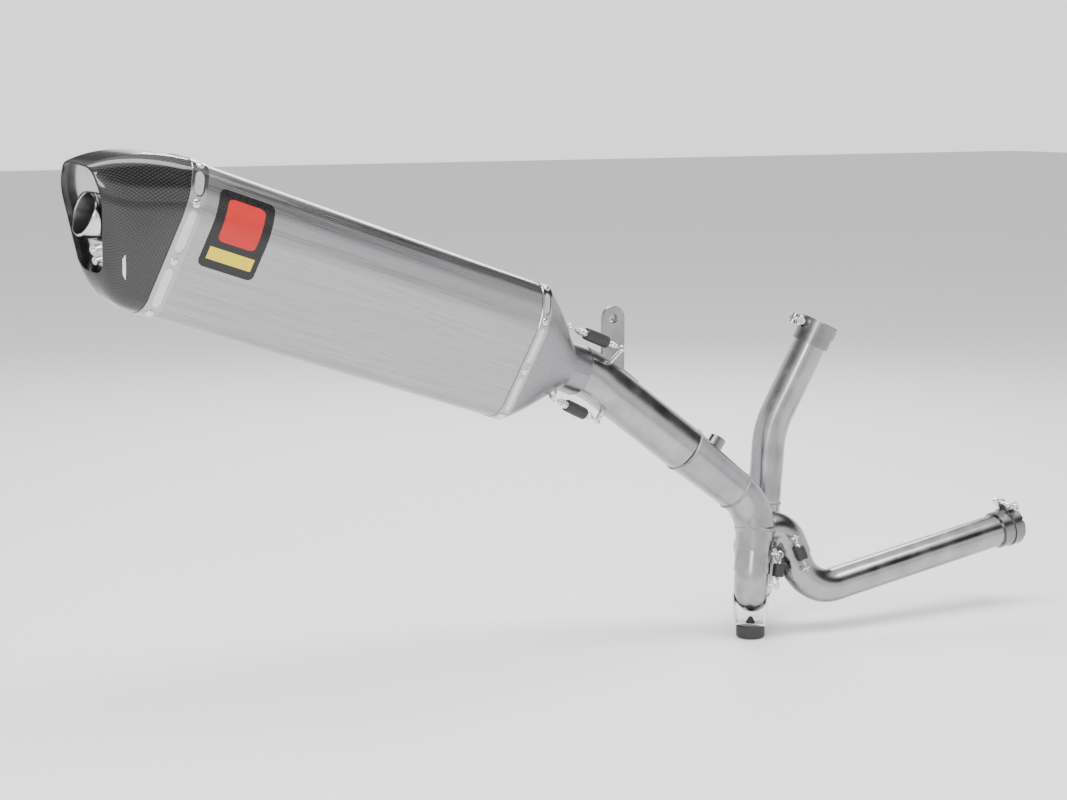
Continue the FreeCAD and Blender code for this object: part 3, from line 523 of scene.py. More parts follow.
# %% [markdown]
# ## Sleeve
# The sleeve is one sheet of titanium rolled round the section. Its wall shows only at the ends, so
# an outer and an inner skin are joined at both rims.
# %% Sleeve
SLEEVE_WALL = 0.0012
SLEEVE_Z = (-OUTLET_BAND + 0.0002, SLEEVE_LENGTH + INLET_BAND - 0.0002)


def make_sleeve():
    stops = [SLEEVE_Z[0] + (SLEEVE_Z[1] - SLEEVE_Z[0]) * k / 12 for k in range(13)]
    rows = [ring_at(z, 0.0) for z in stops] + [ring_at(z, -SLEEVE_WALL) for z in reversed(stops)]
    new_piece("sleeve", rows_mesh("sleeve", rows, along=True), TITANIUM, "silencer",
              "muffler_sleeve")


make_sleeve()

# %% [markdown]
# ## Riveted bands
# Each band is a strip of polished sheet. Between the rivets long pads with round ends are pressed
# in, which stiffen it. The pad is a smooth step in the strip's height, so its border catches the
# light.
# %% Bands
BAND_WALL = 0.001
PAD_DEPTH, PAD_EDGE = 0.00075, 0.0008
PAD_RIVET_GAP = 0.0095


def pad_depth(run, across, half_width):
    """How deep the strip is pressed at a distance round it and across it."""
    stations = [s[4] for s in RIVET_STATIONS]
    for i, start in enumerate(stations):
        end = stations[(i + 1) % len(stations)]
        if end < start:
            end += PERIMETER
        place = run if run >= start else run + PERIMETER
        if not start <= place <= end:
            continue
        lo, hi = start + PAD_RIVET_GAP + half_width, end - PAD_RIVET_GAP - half_width
        if hi <= lo:
            return 0.0
        nearest = min(max(place, lo), hi)
        away = math.hypot((place - nearest) * 0.72, across)
        inside = min(1.0, max(0.0, (half_width - away) / PAD_EDGE))
        return PAD_DEPTH * inside * inside * (3 - 2 * inside)
    return 0.0


def make_band(name, z0, z1):
    half = (z1 - z0) / 2
    pad_half = half * 0.52
    roll = 0.0004
    profile = [(z0, -0.0), (z0, BAND_WALL - roll), (z0 + roll, BAND_WALL)]
    steps = 20
    profile += [(z0 + roll + (z1 - z0 - 2 * roll) * k / steps, BAND_WALL) for k in range(1, steps)]
    profile += [(z1 - roll, BAND_WALL), (z1, BAND_WALL - roll), (z1, 0.0)]
    rows, sunk = [], []
    for z, grow in profile:
        row = []
        for x, y, nx, ny, run in OUTLINE:
            deep = pad_depth(run, z - (z0 + z1) / 2, pad_half) if grow == BAND_WALL else 0.0
            row.append(at(x + nx * (grow - deep), y + ny * (grow - deep), z))
            sunk.append(deep / PAD_DEPTH)
        rows.append(row)
    rows.append(ring_at((z0 + z1) / 2, 0.00005))
    mesh = rows_mesh(name, rows, along=True)
    pad = mesh.attributes.new("pad", "FLOAT", "POINT")
    for slot, value in zip(pad.data, sunk + [0.0] * len(rows[0])):
        slot.value = value
    new_piece(name, mesh, PRESSED_BAND, "silencer", name)


make_band("outlet_band", -OUTLET_BAND, 0.0)
make_band("inlet_band", SLEEVE_LENGTH, SLEEVE_LENGTH + INLET_BAND)

# %% [markdown]
# ## Rivets
# A rivet repeats, so it is made once as a low dome and set out by Geometry Nodes: points carry the
# place and the outward direction, and Instance on Points stands a dome on each.
# %% Rivets by Geometry Nodes
RIVET_R, RIVET_H = 0.0043, 0.0021


def group_with(name, inputs):
    """A geometry node group with named inputs, and its input and output nodes."""
    tree = bpy.data.node_groups.new(name, "GeometryNodeTree")
    tree.interface.new_socket("Geometry", in_out="INPUT", socket_type="NodeSocketGeometry")
    ids = {}
    for label, kind, value in inputs:
        socket = tree.interface.new_socket(label, in_out="INPUT", socket_type=kind)
        if value is not None:
            socket.default_value = value
        ids[label] = socket.identifier
    tree.interface.new_socket("Geometry", in_out="OUTPUT", socket_type="NodeSocketGeometry")
    return tree, tree.nodes.new("NodeGroupInput"), tree.nodes.new("NodeGroupOutput"), ids


def close_tree(tree, geometry, group_in, group_out):
    """Realize Instances, then Set Material, then the output."""
    real = tree.nodes.new("GeometryNodeRealizeInstances")
    paint = tree.nodes.new("GeometryNodeSetMaterial")
    tree.links.new(geometry, real.inputs[0])
    tree.links.new(real.outputs[0], paint.inputs["Geometry"])
    tree.links.new(group_in.outputs["Finish"], paint.inputs["Material"])
    tree.links.new(paint.outputs[0], group_out.inputs[0])


def evaluated_mesh(name, source, tree, ids, values):
    """Runs a node tree on a throw-away object and returns the result as a plain mesh."""
    obj = bpy.data.objects.new(name + "_source", source)
    bpy.context.scene.collection.objects.link(obj)
    modifier = obj.modifiers.new("nodes", "NODES")
    modifier.node_group = tree
    for label, value in values.items():
        modifier[ids[label]] = value
    graph = bpy.context.evaluated_depsgraph_get()
    graph.update()
    mesh = bpy.data.meshes.new_from_object(obj.evaluated_get(graph))
    mesh.name = name
    obj.modifiers.remove(modifier)
    bpy.data.objects.remove(obj)
    return mesh


def stud_tree():
    """Stands a short lathe-like dome, made from a squashed sphere, on every point of the input
    mesh."""
    tree, g_in, g_out, ids = group_with("studs", [
        ("Radius", "NodeSocketFloat", 0.004), ("Height", "NodeSocketFloat", 0.002),
        ("Finish", "NodeSocketMaterial", None)])
    ball = tree.nodes.new("GeometryNodeMeshUVSphere")
    ball.inputs["Segments"].default_value = 28
    ball.inputs["Rings"].default_value = 14
    tree.links.new(g_in.outputs["Radius"], ball.inputs["Radius"])
    ratio = tree.nodes.new("ShaderNodeMath")
    ratio.operation = "DIVIDE"
    tree.links.new(g_in.outputs["Height"], ratio.inputs[0])
    tree.links.new(g_in.outputs["Radius"], ratio.inputs[1])
    size = tree.nodes.new("ShaderNodeCombineXYZ")
    size.inputs["X"].default_value = 1.0
    size.inputs["Y"].default_value = 1.0
    tree.links.new(ratio.outputs[0], size.inputs["Z"])
    squash = tree.nodes.new("GeometryNodeTransform")
    tree.links.new(ball.outputs["Mesh"], squash.inputs["Geometry"])
    tree.links.new(size.outputs[0], squash.inputs["Scale"])
    lean = tree.nodes.new("FunctionNodeAlignRotationToVector")
    lean.axis = "Z"
    facing = tree.nodes.new("GeometryNodeInputNamedAttribute")
    facing.data_type = "FLOAT_VECTOR"
    facing.inputs["Name"].default_value = "outward"
    tree.links.new(facing.outputs["Attribute"], lean.inputs["Vector"])
    put = tree.nodes.new("GeometryNodeInstanceOnPoints")
    tree.links.new(g_in.outputs["Geometry"], put.inputs["Points"])
    tree.links.new(squash.outputs[0], put.inputs["Instance"])
    tree.links.new(lean.outputs[0], put.inputs["Rotation"])
    close_tree(tree, put.outputs[0], g_in, g_out)
    return tree, ids


STUDS, STUD_IDS = stud_tree()


def lone_points(name, places):
    """A mesh of single points; an attribute on each says which way is outwards."""
    mesh = bpy.data.meshes.new(name)
    mesh.from_pydata([tuple(point) for point, _ in places], [], [])
    outward = mesh.attributes.new("outward", "FLOAT_VECTOR", "POINT")
    for slot, (_, direction) in zip(outward.data, places):
        slot.vector = direction
    return mesh


def studs(name, places, radius, height, material, body, *nodes):
    """One dome for each place."""
    grouped = evaluated_mesh(name, lone_points(name + "_places", places), STUDS, STUD_IDS,
                             {"Radius": radius, "Height": height, "Finish": material})
    return new_piece(name, grouped, material, body, *nodes)


def band_rivets(name, z):
    places = []
    for x, y, nx, ny, _ in RIVET_STATIONS:
        outward = (UP * nx + NEAR * ny).normalized()
        places.append((at(x + nx * BAND_WALL, y + ny * BAND_WALL, z), outward))
    studs(name + "_heads", places, RIVET_R, RIVET_H, ZINC, "silencer", name)


band_rivets("outlet_band_rivets", -OUTLET_BAND / 2)
band_rivets("inlet_band_rivets", SLEEVE_LENGTH + INLET_BAND / 2)

# %% [markdown]
# ## Carbon outlet cap
# The cap grows out of the section and closes in on a slanted mouth, longer at the top. Three
# outlines are set, root, waist and mouth, and every row between them follows a smooth curve through
# the three, as cloth does over a mould. The lip is rounded and the inside shows, so it gets a wall.
# %% Carbon cap
CAP_WALL = 0.0016
MOUTH_TOP = (0.0397, -0.0185 - 0.0957)
MOUTH_LOW = (-0.0526, -0.0185 - 0.049)
MOUTH_HALF_WIDTH = 0.0274
MOUTH_NEAR_SET_IN = 0.0099


def cap_ring(t, grow):
    """The cap's outline at t: 0 at the root, 1 at the mouth."""
    top, low = SECTION_HEIGHT / 2, -SECTION_HEIGHT / 2
    a, b = Vector((MOUTH_TOP[0], 0, MOUTH_TOP[1])), Vector((MOUTH_LOW[0], 0, MOUTH_LOW[1]))
    centre, reach, rise = (a + b) / 2, (a - b).length / 2, (a - b).normalized()
    row = []
    for x, y, nx, ny, _ in OUTLINE:
        r = Vector((x, y)).normalized()
        root = Vector((x + nx * grow, y + ny * grow, -OUTLET_BAND))
        share = (x - low) / (top - low)
        mouth = centre + rise * ((2 * share - 1) * (reach + grow))
        sideways = y / HALF_WIDTHS[1] * (MOUTH_HALF_WIDTH + grow)
        mouth += Vector((0, sideways, sideways * MOUTH_NEAR_SET_IN / MOUTH_HALF_WIDTH))
        waist = root * 0.42 + mouth * 0.58 + Vector((r.x * 0.009, r.y * 0.008, 0))
        p = root * ((t - 0.5) * (t - 1) * 2) + waist * (t * (1 - t) * 4) + mouth * (t * (t - 0.5) * 2)
        row.append(at(*p))
    return row


def make_cap():
    steps = 44
    ts = [k / steps for k in range(steps + 1)]
    rows = [cap_ring(t, 0.0) for t in ts[:-1]]
    rows += [cap_ring(0.994, -0.0001), cap_ring(1.0, -0.0006), cap_ring(1.0, -0.0011)]
    rows += [cap_ring(0.99, -CAP_WALL)] + [cap_ring(t, -CAP_WALL) for t in reversed(ts[:-2])]
    lengths = [0.0]
    for before, after in zip(rows, rows[1:]):
        lengths.append(lengths[-1] + (after[len(after) // 4] - before[len(before) // 4]).length)
    runs = [p[4] for p in OUTLINE] + [PERIMETER]

    def uv(i, k):
        return (runs[k], lengths[i] if i < len(lengths) else lengths[-1] + 0.001)
    new_piece("carbon_cap", rows_mesh("carbon_cap", rows, along=True, uv=uv), CARBON, "silencer",
              "carbon_end_cap")


make_cap()

# %% [markdown]
# ## Outlet insert
# The insert is a plain tube with a rolled lip. A lathe profile draws the wall, the roll and the
# bore in one closed loop.
# %% Outlet insert
INSERT_R, INSERT_WALL = 0.021, 0.0015


def node_axis_span(node, origin, axis):
    """How far a node reaches along an axis, from the corners of its mesh."""
    reach = [(v.co - origin).dot(axis) for v in frame["nodes"][node].data.vertices]
    return min(reach), max(reach)


def make_insert():
    centre = at(-0.002, 0, 0)
    z0, z1 = node_axis_span("noise_insert", centre, AXIS)
    r, w = INSERT_R, INSERT_WALL
    profile = [(z1, r - w), (z1, r), (z0 + 0.004, r), (z0 + 0.0032, r + 0.0008),
               (z0 + 0.0014, r + 0.0010),
               (z0 + 0.0003, r + 0.0004), (z0, r - 0.0004), (z0 + 0.0004, r - 0.0012),
               (z0 + 0.002, r - w)]
    mesh = rows_mesh("outlet_insert", lathe(centre, AXIS, profile, 96), along=True)
    new_piece("outlet_insert", mesh, POLISHED, "insert", "noise_insert")


make_insert()

# %% [markdown]
# ## Inlet cone and socket
# The cone is pressed from one sheet: its edge has the section's outline and its neck is round. Each
# point moves from one to the other along a curve that stays full near the band and closes at the
# neck.
# %% Inlet cone
CONE_START = SLEEVE_LENGTH + INLET_BAND
CONE_LENGTH = 0.066
LINK_R, SOCKET_WALL, SLIP_GAP = 0.027, 0.0015, 0.00006
SOCKET_R = LINK_R + SLIP_GAP + SOCKET_WALL


def cone_row(t, inset):
    swell = t ** 1.22
    row = []
    for x, y, nx, ny, _ in OUTLINE:
        angle = math.atan2(y, x)
        edge = Vector((x - nx * (SLEEVE_WALL * 0.2 + inset), y - ny * (SLEEVE_WALL * 0.2 + inset)))
        neck = Vector((math.cos(angle), math.sin(angle))) * (SOCKET_R - inset)
        p = edge.lerp(neck, swell)
        row.append(at(p.x, p.y, CONE_START - 0.0005 + (CONE_LENGTH + 0.0005) * t))
    return row


def make_cone():
    steps = 26
    ts = [k / steps for k in range(steps + 1)]
    rows = [cone_row(t, 0.0) for t in ts] + [cone_row(t, 0.0013) for t in reversed(ts)]
    new_piece("cone", rows_mesh("cone", rows, along=True), CONE_TITANIUM, "silencer", "inlet_cone")
    z0, z1 = node_axis_span("inlet_tube", BASE, AXIS)
    inner = LINK_R + SLIP_GAP
    profile = [(z0, inner), (z0, SOCKET_R), (z1 - 0.003, SOCKET_R),
               (z1 - 0.0016, SOCKET_R + 0.0006),
               (z1 - 0.0004, SOCKET_R + 0.0004), (z1, SOCKET_R - 0.0004), (z1, inner + 0.0003),
               (z1 - 0.0005, inner)]
    new_piece("socket", rows_mesh("socket", lathe(BASE, AXIS, profile, 96), along=True),
              CONE_TITANIUM,
              "silencer", "inlet_tube")


make_cone()

# %% [markdown]
# ## Bent tubes
# A mandrel bender makes straight runs joined by round bends. The route below does the same: from
# the corner points and bend radii it works out where each arc starts and ends, and a ring of points
# is carried along it. The ring is turned only as much as the route turns, so the tube never twists.
# %% Routes and tubes


def route_points(corners, radii, step=0.004):
    """Evenly spaced (place, direction) along straight runs and tangent arcs."""
    out = []
    start = corners[0]

    def run(a, b):
        count = max(1, int((b - a).length / (step * 2)))
        direction = (b - a).normalized()
        return [(a.lerp(b, k / count), direction) for k in range(count + 1)]
    for here, before, after, radius in zip(corners[1:-1], corners[:-2], corners[2:], radii):
        back, on = (before - here).normalized(), (after - here).normalized()
        half = back.angle(on) / 2
        cut = radius / math.tan(half)
        a = here + back * cut
        centre = here + (back + on).normalized() * (radius / math.sin(half))
        out += run(start, a)
        axis = (back * -1).cross(on).normalized()
        sweep = math.pi - 2 * half
        count = max(4, int(sweep * radius / step))
        for k in range(1, count + 1):
            spin = Matrix.Rotation(sweep * k / count, 3, axis)
            out.append((centre + spin @ (a - centre), spin @ (back * -1)))
        start = here + on * cut
    return out + run(start, corners[-1])


def swept_rows(path, radius_at, segments=72, side=None):
    """Rings carried along the path; radius_at gives the radius for the share of the way along."""
    rows = []
    direction = path[0][1]
    side = (side or direction.orthogonal()).normalized()
    for k, (place, heading) in enumerate(path):
        side = (direction.rotation_difference(heading) @ side)
        side = (side - heading * side.dot(heading)).normalized()
        direction = heading
        other = heading.cross(side)
        r = radius_at(k / (len(path) - 1))
        rows.append([place + (side * math.cos(t) + other * math.sin(t)) * r
                     for t in (2 * math.pi * n / segments for n in range(segments))])
    return rows


def clean_path(path):
    """Drops places that repeat."""
    kept = [path[0]]
    for place, heading in path[1:]:
        if (place - kept[-1][0]).length > 1e-6:
            kept.append((place, heading))
    return kept


def tube_piece(name, corners, radii, outer, wall, body, *nodes, material=None):
    path = clean_path(route_points(corners, radii))
    rows = swept_rows(path, outer) + swept_rows(path, lambda t: outer(t) - wall)[::-1]
    return new_piece(name, rows_mesh(name, rows, along=True), material or TUBE, body, *nodes)


def mm(x, y, z):
    return Vector((x, y, z)) * MM


ELBOW_R, HEADER_R, WALL = 0.0235, 0.020, 0.0012
LINK_WELD, TAPER_WELD = mm(87, -26, -155), mm(154, -33, -209)
COLLECTOR_TOP = mm(176, -44, -256)
REAR_SOCKET = Vector(JOINTS["rear_header_swivel"]["pos_m"])
FRONT_SOCKET = Vector(JOINTS["front_header_swivel"]["pos_m"])
LEG_DIR = Vector(JOINTS["rear_header_swivel"]["axis"])
HUMP_OUT = Vector(JOINTS["front_header_swivel"]["axis"])
REAR_LOW, REAR_MID, REAR_PORT = mm(223, 12, -338), mm(248, 28, -152), mm(298, 9, -39)
FRONT_PORT = mm(529, -84, -286)
LINK_CORNER = SLIP + AXIS * 0.043
TAPER_DIR = (TAPER_WELD - LINK_WELD).normalized()
FRONT_CORNER = FRONT_SOCKET + HUMP_OUT * 0.046
REAR_BOTTOM = REAR_SOCKET + LEG_DIR * 0.033


def constant(r):
    return lambda t: r


tube_piece("link_tube", [SLIP - AXIS * 0.002, LINK_CORNER, LINK_WELD], [0.095], constant(LINK_R),
           WALL,
           "link", "link_pipe")
tube_piece("elbow_tube", [TAPER_WELD, TAPER_WELD + TAPER_DIR * 0.026, COLLECTOR_TOP], [0.048],
           constant(ELBOW_R), WALL, "link", "elbow")
tube_piece("front_header_tube", [FRONT_SOCKET - HUMP_OUT * 0.016, FRONT_CORNER, FRONT_PORT],
           [0.042],
           constant(HEADER_R), WALL, "front_header", "front_header")
tube_piece("rear_header_tube",
           [REAR_SOCKET - LEG_DIR * 0.020, REAR_BOTTOM, REAR_LOW, REAR_MID, REAR_PORT],
           [0.024, 0.040, 0.130], constant(HEADER_R), WALL, "rear_header", "rear_header")

# %% [markdown]
# ## Weld beads
# A welded bead is a row of overlapping drops of metal. Geometry Nodes sets flattened drops round a
# ring, each leaning the way the torch went, and the count follows the ring's own length.
# %% Weld beads by Geometry Nodes


def bead_tree():
    tree, g_in, g_out, ids = group_with("weld_beads", [
        ("Drop", "NodeSocketFloat", 0.0015), ("Pitch", "NodeSocketFloat", 0.0016),
        ("Finish", "NodeSocketMaterial", None)])
    curve = tree.nodes.new("GeometryNodeMeshToCurve")
    tree.links.new(g_in.outputs["Geometry"], curve.inputs[0])
    spread = tree.nodes.new("GeometryNodeCurveToPoints")
    spread.mode = "LENGTH"
    tree.links.new(curve.outputs[0], spread.inputs["Curve"])
    tree.links.new(g_in.outputs["Pitch"], spread.inputs["Length"])
    drop = tree.nodes.new("GeometryNodeMeshIcoSphere")
    drop.inputs["Subdivisions"].default_value = 2
    tree.links.new(g_in.outputs["Drop"], drop.inputs["Radius"])
    flat = tree.nodes.new("GeometryNodeTransform")
    flat.inputs["Scale"].default_value = (0.85, 1.25, 0.8)
    flat.inputs["Rotation"].default_value = (0.0, 0.28, 0.0)
    tree.links.new(drop.outputs["Mesh"], flat.inputs["Geometry"])
    put = tree.nodes.new("GeometryNodeInstanceOnPoints")
    tree.links.new(spread.outputs["Points"], put.inputs["Points"])
    tree.links.new(spread.outputs["Rotation"], put.inputs["Rotation"])
    tree.links.new(flat.outputs[0], put.inputs["Instance"])
    close_tree(tree, put.outputs[0], g_in, g_out)
    return tree, ids


BEADS, BEAD_IDS = bead_tree()


def weld_ring(name, centre, axis, radius, body, *nodes, drop=0.0016):
    axis = axis.normalized()
    side = axis.orthogonal().normalized()
    other = axis.cross(side)
    count = 96
    verts = [tuple(centre + (side * math.cos(t) + other * math.sin(t)) * radius)
             for t in (2 * math.pi * k / count for k in range(count))]
    mesh = bpy.data.meshes.new(name + "_line")
    mesh.from_pydata(verts, [(k, (k + 1) % count) for k in range(count)], [])
    grouped = evaluated_mesh(name, mesh, BEADS, BEAD_IDS,
                             {"Drop": drop, "Pitch": drop * 1.05, "Finish": WELD})
    profile = [(drop * 1.15 * math.cos(t), radius - drop * 0.35 + drop * 1.0 * math.sin(t))
               for t in (2 * math.pi * k / 12 for k in range(12))]
    bm = bmesh.new()
    bm.from_mesh(grouped)
    bm.from_mesh(rows_mesh(name + "_base", lathe(centre, axis, profile, 96), along=True))
    bm.to_mesh(grouped)
    bm.free()
    return new_piece(name, grouped, WELD, body, *nodes)


REAR_UP = (REAR_MID - REAR_LOW).normalized()
weld_ring("link_weld", LINK_WELD, TAPER_DIR, LINK_R, "link", "weld_bead_link")
weld_ring("taper_weld", TAPER_WELD, TAPER_DIR, ELBOW_R, "link", "weld_bead_taper")
weld_ring("rear_header_weld", REAR_LOW + REAR_UP * 0.098, REAR_UP, HEADER_R, "rear_header",
          "rear_header_bead",
          drop=0.0013)
weld_ring("collector_weld", COLLECTOR_TOP, LEG_DIR, ELBOW_R, "link", drop=0.0014)

# %% [markdown]
# ## Springs
# Each slip joint is held shut by a pull spring: close coils that taper at both ends into a hooked
# eye, with a rubber sleeve on the middle to stop it from ringing. The coils are a spiral curve in
# Geometry Nodes with the spring's length, radius and pitch as inputs. The eye and its short stem
# are swept by hand, because they join the coils to two hooks that lie at odd angles.
# %% Coils by Geometry Nodes
COIL_R, WIRE_R, EYE_R = 0.0044, 0.00085, 0.0033
TAPER_LENGTH, TAPER_TURNS = 0.006, 3.0


def coil_tree():
    """Three spirals end to end: opening out, even, closing in. The wire is a round profile."""
    tree, g_in, g_out, ids = group_with("coil_spring", [
        ("Length", "NodeSocketFloat", 0.04), ("Coil radius", "NodeSocketFloat", COIL_R),
        ("Wire radius", "NodeSocketFloat", WIRE_R), ("Turns", "NodeSocketFloat", 20.0),
        ("Finish", "NodeSocketMaterial", None)])

    def calc(operation, a, b):
        node = tree.nodes.new("ShaderNodeMath")
        node.operation = operation
        for socket, value in zip(node.inputs, (a, b)):
            if isinstance(value, (int, float)):
                socket.default_value = value
            else:
                tree.links.new(value, socket)
        return node.outputs[0]
    end_r = calc("MULTIPLY", g_in.outputs["Wire radius"], 1.3)
    body_length = calc("SUBTRACT", g_in.outputs["Length"], TAPER_LENGTH * 2)
    join = tree.nodes.new("GeometryNodeJoinGeometry")
    parts = ((end_r, g_in.outputs["Coil radius"], TAPER_LENGTH, TAPER_TURNS, 0.0),
             (g_in.outputs["Coil radius"], g_in.outputs["Coil radius"], body_length,
              g_in.outputs["Turns"],
              TAPER_LENGTH),
             (g_in.outputs["Coil radius"], end_r, TAPER_LENGTH, TAPER_TURNS,
              calc("SUBTRACT", g_in.outputs["Length"], TAPER_LENGTH)))
    for first, last, height, turns, lift in parts:
        spiral = tree.nodes.new("GeometryNodeCurveSpiral")
        spiral.inputs["Resolution"].default_value = 22
        for label, value in (("Start Radius", first), ("End Radius", last), ("Height", height),
                             ("Rotations", turns)):
            if isinstance(value, (int, float)):
                spiral.inputs[label].default_value = value
            else:
                tree.links.new(value, spiral.inputs[label])
        place = tree.nodes.new("ShaderNodeCombineXYZ")
        if isinstance(lift, (int, float)):
            place.inputs["Z"].default_value = lift
        else:
            tree.links.new(lift, place.inputs["Z"])
        move = tree.nodes.new("GeometryNodeTransform")
        tree.links.new(spiral.outputs[0], move.inputs["Geometry"])
        tree.links.new(place.outputs[0], move.inputs["Translation"])
        tree.links.new(move.outputs[0], join.inputs[0])
    profile = tree.nodes.new("GeometryNodeCurvePrimitiveCircle")
    profile.inputs["Resolution"].default_value = 8
    tree.links.new(g_in.outputs["Wire radius"], profile.inputs["Radius"])
    skin = tree.nodes.new("GeometryNodeCurveToMesh")
    skin.inputs["Fill Caps"].default_value = True
    tree.links.new(join.outputs[0], skin.inputs["Curve"])
    tree.links.new(profile.outputs[0], skin.inputs["Profile Curve"])
    close_tree(tree, skin.outputs[0], g_in, g_out)
    return tree, ids


COILS, COIL_IDS = coil_tree()


def wire_rows(points, radius, segments=10):
    """A thin rod through a list of points."""
    path = [(p, (points[min(k + 1, len(points) - 1)] - points[max(k - 1, 0)]).normalized())
            for k, p in enumerate(points)]
    return swept_rows(path, constant(radius), segments)


def add_rod(bm, points, radius):
    rows = wire_rows(points, radius)
    rings = [[bm.verts.new(p) for p in row] for row in rows]
    for first, second in zip(rings, rings[1:]):
        for k in range(len(first)):
            m = (k + 1) % len(first)
            bm.faces.new((first[k], first[m], second[m], second[k]))
    bm.faces.new(list(reversed(rings[0])))
    bm.faces.new(rings[-1])


def make_spring(name, first, second, lift, cad_spring, cad_sleeve):
    """Coils, two eyes and the rubber sleeve between the crowns first and second."""
    along = (second - first).normalized()
    lift = (lift - along * lift.dot(along)).normalized()
    third = along.cross(lift)
    stem = EYE_R + 0.0035
    start, length = first + along * stem, (second - first).length - 2 * stem
    source = bpy.data.meshes.new(name + "_seed")
    source.from_pydata([(0, 0, 0)], [], [])
    turns = (length - 2 * TAPER_LENGTH) / (2.12 * WIRE_R)
    coils = evaluated_mesh(name, source, COILS, COIL_IDS, {
        "Length": length, "Coil radius": COIL_R - WIRE_R, "Wire radius": WIRE_R, "Turns": turns,
        "Finish": SPRING_STEEL})
    place = Matrix(((lift.x, third.x, along.x, start.x), (lift.y, third.y, along.y, start.y),
                    (lift.z, third.z, along.z, start.z), (0, 0, 0, 1)))
    coils.transform(place)
    bm = bmesh.new()
    bm.from_mesh(coils)
    for centre, d in ((first, along), (second, -along)):
        eye = [centre + (d * math.cos(t) + lift * math.sin(t)) * EYE_R
               for t in (math.radians(18 + 11 * k) for k in range(30))]
        tail = [centre + d * (EYE_R + 0.0035) + lift * 0.0008,
                centre + d * (EYE_R + 0.0016) + lift * 0.0009]
        add_rod(bm, tail + eye, WIRE_R * 1.1)
    bm.to_mesh(coils)
    bm.free()
    spring = new_piece(name, coils, SPRING_STEEL, None, cad_spring)
    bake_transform(spring)
    sleeve = frame["nodes"][cad_sleeve]
    z = [(v.co - first).dot(along) for v in sleeve.data.vertices]
    z0, z1 = min(z), max(z)
    outer, inner, roll = 0.0068, COIL_R + 0.0003, 0.0012
    swell = 0.0003
    profile = [(z0 + 0.0003, inner), (z0, inner + 0.0006), (z0, outer - roll),
               (z0 + roll * 0.3, outer - roll * 0.3),
               (z0 + roll, outer)]
    profile += [(z0 + roll + (z1 - z0 - 2 * roll) * k / 8,
                 outer + swell * math.sin(math.pi * k / 8) * 0.6)
                for k in range(1, 8)]
    profile += [(z1 - roll, outer), (z1 - roll * 0.3, outer - roll * 0.3), (z1, outer - roll),
                (z1, inner + 0.0006), (z1 - 0.0003, inner)]
    mesh = rows_mesh(name + "_rubber", lathe(first, along, profile, 48), along=True)
    new_piece(name + "_rubber", mesh, RUBBER, "link", cad_sleeve)


HOOK_HEIGHT = 0.0106


def make_springs():
    link_dir = (LINK_WELD - LINK_CORNER).normalized()
    for tag, turn, back, past, stand_off in (("upper", 20, 0.018, 0.008, 0.0084),
                                             ("lower", 156, 0.011, 0.034, 0.004)):
        out = UP * math.cos(math.radians(turn)) + NEAR * math.sin(math.radians(turn))
        out_b = (out - link_dir * out.dot(link_dir)).normalized()
        reach = LINK_R + stand_off + HOOK_HEIGHT
        make_spring("silencer_" + tag + "_coils", SLIP - AXIS * back + out * reach,
                    LINK_CORNER + link_dir * past + out_b * reach, out,
                    "silencer_" + tag + "_spring", "silencer_" + tag + "_spring_sleeve")
    for tag, socket, direction, lean, down in (
            ("rear", REAR_SOCKET, LEG_DIR, Vector((0.90, -0.43, 0)), 0.013),
            ("front", FRONT_SOCKET, HUMP_OUT, Vector((-0.25, -0.95, 0)), 0.014)):
        out = (lean - direction * lean.dot(direction)).normalized()
        make_spring("collector_" + tag + "_coils",
                    socket - direction * 0.024 + out * (HEADER_R + 0.00156 + HOOK_HEIGHT),
                    socket + direction * down + out * (HEADER_R + HOOK_HEIGHT), out,
                    "collector_" + tag + "_spring",
                    "collector_" + tag + "_spring_sleeve")


make_springs()

# %% [markdown]
# ## Badge
# A thin black patch wraps over the sleeve's shoulder. It carries only plain blocks of colour: one
# slanted red bar and one yellow strip, cut from the same outline and lifted a tenth of a
# millimetre.
# %% Badge blocks


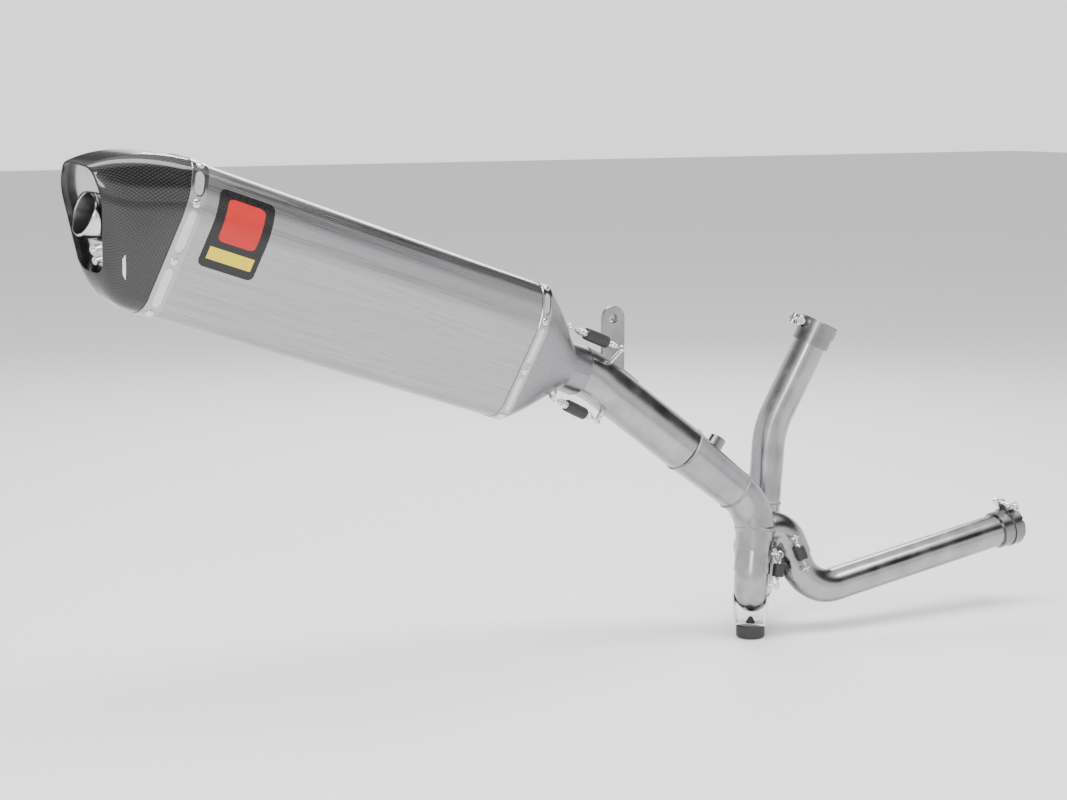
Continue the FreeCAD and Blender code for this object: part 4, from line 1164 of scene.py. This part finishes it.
def outline_at(run):
    """Place and outward direction at a distance round the section."""
    run %= PERIMETER
    for a, b in zip(OUTLINE, OUTLINE[1:] + [OUTLINE[0][:4] + (PERIMETER,)]):
        if a[4] <= run <= b[4]:
            share = (run - a[4]) / max(1e-9, b[4] - a[4])
            return [a[i] + (b[i] - a[i]) * share for i in range(4)]
    return list(OUTLINE[0][:4])


def run_at_height(height):
    """The distance round to a height on the near side."""
    near = [p for p in OUTLINE if p[1] > 0.01]
    return min(near, key=lambda p: abs(p[0] - height))[4]


def patch(name, corner_runs, z_of, lift, thick, material, steps=40):
    """A curved sheet between two distances round the section; z_of gives its two ends at each
    share."""
    rows = []
    start, end = corner_runs
    for k in range(steps + 1):
        share = k / steps
        x, y, nx, ny = outline_at(start + (end - start) * share)
        z0, z1 = z_of(share)
        top = [at(x + nx * (lift + thick), y + ny * (lift + thick), z) for z in (z0, z1)]
        low = [at(x + nx * lift, y + ny * lift, z) for z in (z1, z0)]
        rows.append(top + low)
    mesh = rows_mesh(name, rows)
    bm = bmesh.new()
    bm.from_mesh(mesh)
    bm.verts.ensure_lookup_table()
    bm.faces.new([bm.verts[i] for i in (3, 2, 1, 0)])
    last = len(rows) * 4 - 4
    bm.faces.new([bm.verts[last + i] for i in (0, 1, 2, 3)])
    bm.to_mesh(mesh)
    bm.free()
    return new_piece(name, mesh, material, "silencer")


BADGE_Z = (0.014, 0.076)


def corner_trim(share, z0, z1, radius=0.08):
    """Rounds the ends of a patch."""
    edge = min(share, 1 - share)
    cut = 0.006 * (1 - math.sqrt(max(0.0, 1 - (1 - min(1, edge / radius)) ** 2)))
    return z0 + cut, z1 - cut


def make_badge():
    top, low = run_at_height(0.061), run_at_height(-0.015)
    black = patch("badge_patch", (top, low), lambda s: corner_trim(s, *BADGE_Z), 0.00003, 0.0005,
                  BADGE, 96)
    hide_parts("badge_plate")
    span = low - top
    red = (top + span * 0.10, top + span * 0.64)
    patch("badge_block", red, lambda s: corner_trim(s, 0.024, 0.066, 0.12), 0.00056, 0.00010,
          BADGE_RED)
    yellow = (top + span * 0.73, top + span * 0.89)
    patch("badge_strip", yellow, lambda s: (0.020, 0.070), 0.00056, 0.00010, BADGE_YELLOW)


make_badge()
